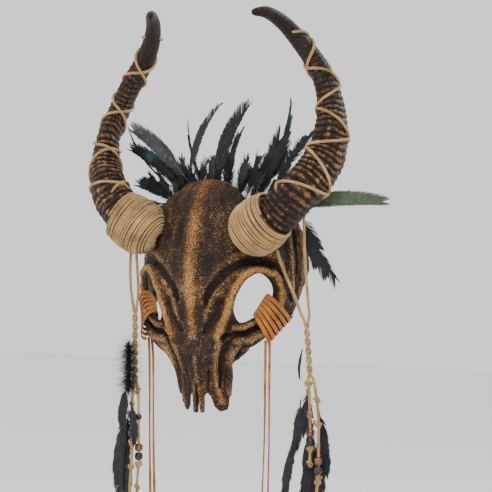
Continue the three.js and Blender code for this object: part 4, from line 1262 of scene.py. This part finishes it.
def bead_mesh(radius, place):
    """A barrel bead with two turned lines and a bore, revolved about the twine."""
    t = np.linspace(-1, 1, 25)
    outer = radius * (1 - 0.30 * np.abs(t) ** 3.2)
    outer -= 0.09 * radius * sum(np.exp(-((t - at) / 0.07) ** 2) for at in (-0.5, 0.5))
    bore = 2.25
    profile = np.concatenate([np.stack([outer, t], 1), [(bore + 0.4, 1.0), (bore, 0.9), (bore, -0.9),
                                                        (bore + 0.4, -1.0)]])
    profile[:, 1] *= 0.86 * radius
    angle = 2 * np.pi * np.arange(32) / 32
    vertices = np.stack([profile[:, None, 0] * np.cos(angle), profile[:, None, 0] * np.sin(angle),
                         np.repeat(profile[:, None, 1], 32, 1)], -1)
    rings = len(profile)
    quads = grid_faces(rings, 32)
    last = grid_faces(2, 32) % 32
    last[:, :2] += (rings - 1) * 32
    return vertices.reshape(-1, 3) + np.array(place), [quads, last]


def knot_mesh(place, size, seed):
    """An overhand knot of twine, pulled fairly tight."""
    t = np.linspace(0, 2 * np.pi, 90)
    line = size * np.stack([np.sin(t) + 2 * np.sin(2 * t), np.cos(t) - 2 * np.cos(2 * t),
                            -1.3 * np.sin(3 * t)], 1)
    turn = np.array(Matrix.Rotation(seed * 1.7, 3, "Z") @ Matrix.Rotation(1.2 + 0.3 * math.sin(seed), 3, "X"))
    path = even_path(line @ turn.T * 0.92, 0.9) + np.array(place)
    return twine_tube(path, 2.7, seed, around=12)


def hang_twines(looks):
    for k, (name, body, length, points) in enumerate(TWINES):
        path = smooth_path(points, 1.05)
        vertices, faces, attributes = twine_tube(path, TWINE, 500 + k)
        piece = add_mesh(name + "_jute", vertices * MM, faces, body, attributes=attributes)
        fuzz = hairs(path, TWINE, 520 + k, 1.5, 5.5)
        fuzz = add_mesh(name + "_fibres", fuzz[0] * MM, fuzz[1], body, attributes=fuzz[2])
        places = [path[np.argmin(np.abs(path[:, 2] - z))] for z, _ in KNOTS[name]]
        knots = joined([part for j, (place, (_, size)) in enumerate(zip(places, KNOTS[name]))
                        for part in knot_parts(place, size, 540 + 10 * k + j)])
        knots = add_mesh(name + "_knots", knots[0] * MM, knots[1], body, attributes=knots[2])
        dressed(piece, looks["jute"], name)
        dressed(fuzz, looks["jute"])
        dressed(knots, looks["jute"])


def knot_parts(place, size, seed):
    """A knot, and the frayed ends that stick out of it."""
    around = place + size * 2.2 * np.stack([np.cos(np.linspace(0, 6, 30)), np.sin(np.linspace(0, 6, 30)),
                                            np.linspace(-1, 1, 30)], 1)
    return [knot_mesh(place, size, seed), hairs(even_path(around, 0.5), 1.5, seed, 1.6, 9.0, 0.12)]


def hang_laces(looks):
    for k, (name, body, length, points) in enumerate(LACES):
        path = smooth_path(points, 2.0)
        turn = 0.5 + 1.3 * np.sin(np.linspace(0, 2.4 + 0.5 * k, len(path)))
        wide = np.stack([np.cos(turn), np.sin(turn), 0 * turn], 1)
        vertices, faces, attributes = flat_lace(path, LACE_WIDTH, LACE_THICKNESS, wide, 600 + k)
        piece = add_mesh(name + "_suede", vertices * MM, faces, body, attributes=attributes)
        dressed(piece, looks["suede"], name)


def add_beads(looks):
    for name, _, radius, place in BEADS:
        vertices, faces = bead_mesh(radius, place)
        made = add_mesh(name + "_turned", vertices * MM, faces, name)
        kind = "gunmetal" if "gunmetal" in name or "small" in name else "copper"
        dressed(made, looks[kind], name)


# ---- pad and strap --------------------------------------------------------------------------
PAD_GRID = 1.2


def pad_mesh():
    """A rounded pad behind the forehead, drawn in along two sewn creases."""
    axes = [np.arange(low, high, PAD_GRID) for low, high in ((-44, 44), (-48, 4), (-24, 24))]
    points = grid_points(axes)
    x, y, z = np.abs(points[:, 0]) - 30, points[:, 1], np.abs(points[:, 2]) - 10
    sides = np.hypot(np.maximum(x, 0), np.maximum(z, 0)) + np.minimum(np.maximum(x, z), 0) - 8
    crease = 0.7 * np.exp(-((np.abs(points[:, 0]) - 17) / 2.0) ** 2)
    front = skull_depth(points) + SHELL + 0.9
    body = -smooth_min(-sides, -(y + crease), 7.0)
    body = -smooth_min(-body, -front, 3.0)
    return surface_of(body, axes, PAD_GRID)


STRAP_HEIGHT = -12.0
STRAP_INSIDE = 80.5
STRAP_WIDTH, STRAP_THICKNESS, STRAP_LENGTH = 20.0, 1.5, 310.0


def add_pad_and_strap(looks):
    vertices, quads = largest_part(*pad_mesh())
    pad = add_mesh("forehead_pad_cloth", vertices * MM, [quads])
    dressed(pad, looks["foam"], "forehead_pad")
    half = [(STRAP_INSIDE, 34), (STRAP_INSIDE, 54), (STRAP_INSIDE - 8, 78), (STRAP_INSIDE - 30, 100)]
    line = [*half, (0, 108), *[(-x, y) for x, y in half[::-1]]]
    path = smooth_path([(x, y, STRAP_HEIGHT) for x, y in line], 1.5)
    wide = np.tile(np.array([0.0, 0, 1]), (len(path), 1))
    vertices, faces, attributes = flat_lace(path, STRAP_WIDTH, STRAP_THICKNESS, wide, 700)
    strap = add_mesh("elastic_strap_woven", vertices * MM, faces, attributes=attributes)
    dressed(strap, looks["elastic"], "elastic_strap")


# ---- the assembly ---------------------------------------------------------------------------
GILDED = [
    ("front", 0.75, [(0, 74, 16), (0, 40, 15), (0, 0, 13), (0, -30, 11), (0, -80, 9)]),
    ("front", 0.6, [(9, -150, 5), (6, -166, 5)]),
    ("orbit", 1.0, [(-38, -40, 8), (-32, -22, 10), (-27, -6, 11), (-22, 9, 11), (-14, 22, 9), (-3, 30, 7),
                    (10, 30, 6), (21, 23, 6), (27, 10, 6), (27, -4, 6)]),
    ("front", 0.5, [(22, -150, 6), (22, -166, 6), (22, -174, 5)]),
]


def skull_attributes(vertices):
    """How far each point stands out of what is round it, and how gilded it is, from 0 to 1."""
    across, z, relief, _ = skull_map()
    s = across_of(vertices[:, 0], vertices[:, 1], vertices[:, 2])
    local = relief - blurred(relief, 14)
    lift = np.clip(0.55 + looked_up(local, across, z, s, vertices[:, 2]) / 3.6, 0, 1)
    outside = skull_depth(vertices) > -2.8
    planes = face_planes(vertices)
    gild = np.zeros(len(vertices))
    for view, amount, line in GILDED:
        found = line_distance(*planes[view], line)
        shown = (view == "front") | (np.abs(vertices[:, 0]) > 15)
        gild = np.maximum(gild, amount * bump_of(np.minimum(found, 1)) * shown)
    return {"lift": np.where(outside, lift, 0.32), "gild": gild * outside}


def add_skull(looks):
    vertices, quads = largest_part(*skull_mesh())
    made = add_mesh("skull_face", vertices * MM, [quads], attributes=skull_attributes(vertices))
    dressed(made, looks["skull"], "mask_shell")


def add_horns(looks):
    for word, side in (("left", 1), ("right", -1)):
        vertices, faces, attributes = horn_mesh(11 + side)
        vertices, faces = mirrored(vertices, faces, side)
        place(looks, f"horn_{word}", "ridged", (vertices, faces, attributes), "horn")
        place(looks, f"horn_wrap_{word}", "twine", wrap_mesh(side, 40 + side), "jute")
        lashed = [twine_tube(lashing_path(turning), TWINE, 70 + turning + side) for turning in (1, -1)]
        lashed += [hairs(lashing_path(turning), TWINE, 75 + turning, 0.5, 4.0) for turning in (1, -1)]
        vertices, faces, attributes = joined(lashed)
        vertices, faces = mirrored(vertices, faces, side)
        place(looks, f"horn_lashing_{word}", "twine", (vertices, faces, attributes), "jute")
        place(looks, f"cheek_lacing_{word}", "suede", arch_lacing(side, 90 + side), "suede")


def place(looks, node, word, shape, look, body="root", slot=None):
    """A piece that stands for a CAD node, or one that goes with it where word begins with a plus."""
    vertices, faces, attributes = shape
    made = add_mesh(f"{node}_{word.lstrip('+')}", vertices * MM, faces, body, attributes=attributes)
    dressed(made, looks[look], None if word.startswith("+") else node)


def feather_kind(name):
    for word, look in (("green", "green"), ("grey", "grey"), ("silver", "grey"), ("teal", "teal")):
        if word in name:
            return look
    return "feather"


def add_feathers(looks):
    slots = {"green": "feather_green"}
    for k, (name, base, tip, width, *manner) in enumerate(CREST):
        shape = feather_mesh(base, tip, width, 200 + k, *manner)
        kind = feather_kind(name)
        place(looks, name, "barbs", shape, kind, slot=slots.get(kind, "feather_black"))
    for k, (name, body, base, tip, width, bow) in enumerate(TASSEL_FEATHERS):
        shape = feather_mesh(base, tip, width, 300 + k, bow)
        place(looks, name, "barbs", shape, "feather", body, "feather_black")
    down = [fluff((-83.6, -31.8, -108 - 5.6 * k), (1.0, 1.0, 3), (0, 0, -0.5), 15, 260, 320 + k, 0.36)
            for k in range(9)]
    place(looks, "marabou_right", "down", joined(down), "feather", "tassel_right", "feather_black")
    place(looks, "crest", "+short_feathers", joined(short_feathers()), "feather", slot="feather_black")
    place(looks, "crest", "+down", crown_down(), "feather", slot="feather_black")
    for body, shapes in tassel_extras().items():
        place(looks, body, "+small_feathers", joined(shapes), "feather", body, "feather_black")


def short_feathers():
    """The many short feathers that fill the crest between the long ones."""
    random = random_of(400)
    shapes = []
    for k in range(30):
        x = -56 + 112 * (k + 0.5) / 30
        base = (x, random.uniform(11, 30), 40 + 14 * math.cos(x / 40))
        lean = x * 0.36 + random.normal(0, 7)
        tip = (x + lean, base[1] + random.uniform(0, 6), base[2] + random.uniform(26, 46))
        shapes.append(feather_mesh(base, tip, random.uniform(9, 15), 410 + k, random.normal(0, 0.06),
                                   random.normal(0, 0.5), 0.55, 0.3, 0.45, 0.8))
    return shapes


def crown_down():
    patches = [fluff((-60 + 9.5 * k, 19, 50 + 9 * math.cos((-60 + 9.5 * k) / 38)), (8, 10, 6),
                     ((-60 + 9.5 * k) / 80, -0.1, 1), 27, 130, 450 + k) for k in range(13)]
    return joined(patches)


def tassel_extras():
    """Short feathers tied in beside the named ones, on each tassel."""
    right = [((-84, -33.5, -150), (-88, -34, -196), 12), ((-80, -33, -168), (-75, -34, -214), 10),
             ((-87, -24, -206), (-83, -24, -290), 14), ((-90, -22, -178), (-99, -22, -250), 12)]
    left = [((109, 1.5, -108), (106, 2, -140), 3.5), ((112, -8.5, -160), (104, -9.5, -214), 12),
            ((120, 8, -182), (116, 9, -262), 15), ((125, 7, -170), (133, 8, -240), 13),
            ((119, 6.5, -214), (112, 7, -292), 15)]
    return {body: [feather_mesh(*f, seed + k, 0.05 * (-1) ** k) for k, f in enumerate(found)]
            for body, found, seed in (("tassel_right", right, 330), ("tassel_left", left, 340))}


def finish_cad_nodes(looks):
    """The fittings keep their CAD shapes, and get their finishes."""
    for name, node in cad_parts.items():
        if node.hide_render:
            continue
        look = "felt" if name == "feather_band" else "fitting"
        node.data.materials.clear()
        node.data.materials.append(looks[look])


make_camera()
make_surroundings()
looks = make_looks()
add_skull(looks)
add_horns(looks)
add_beads(looks)
hang_twines(looks)
hang_laces(looks)
add_feathers(looks)
add_pad_and_strap(looks)
finish_cad_nodes(looks)
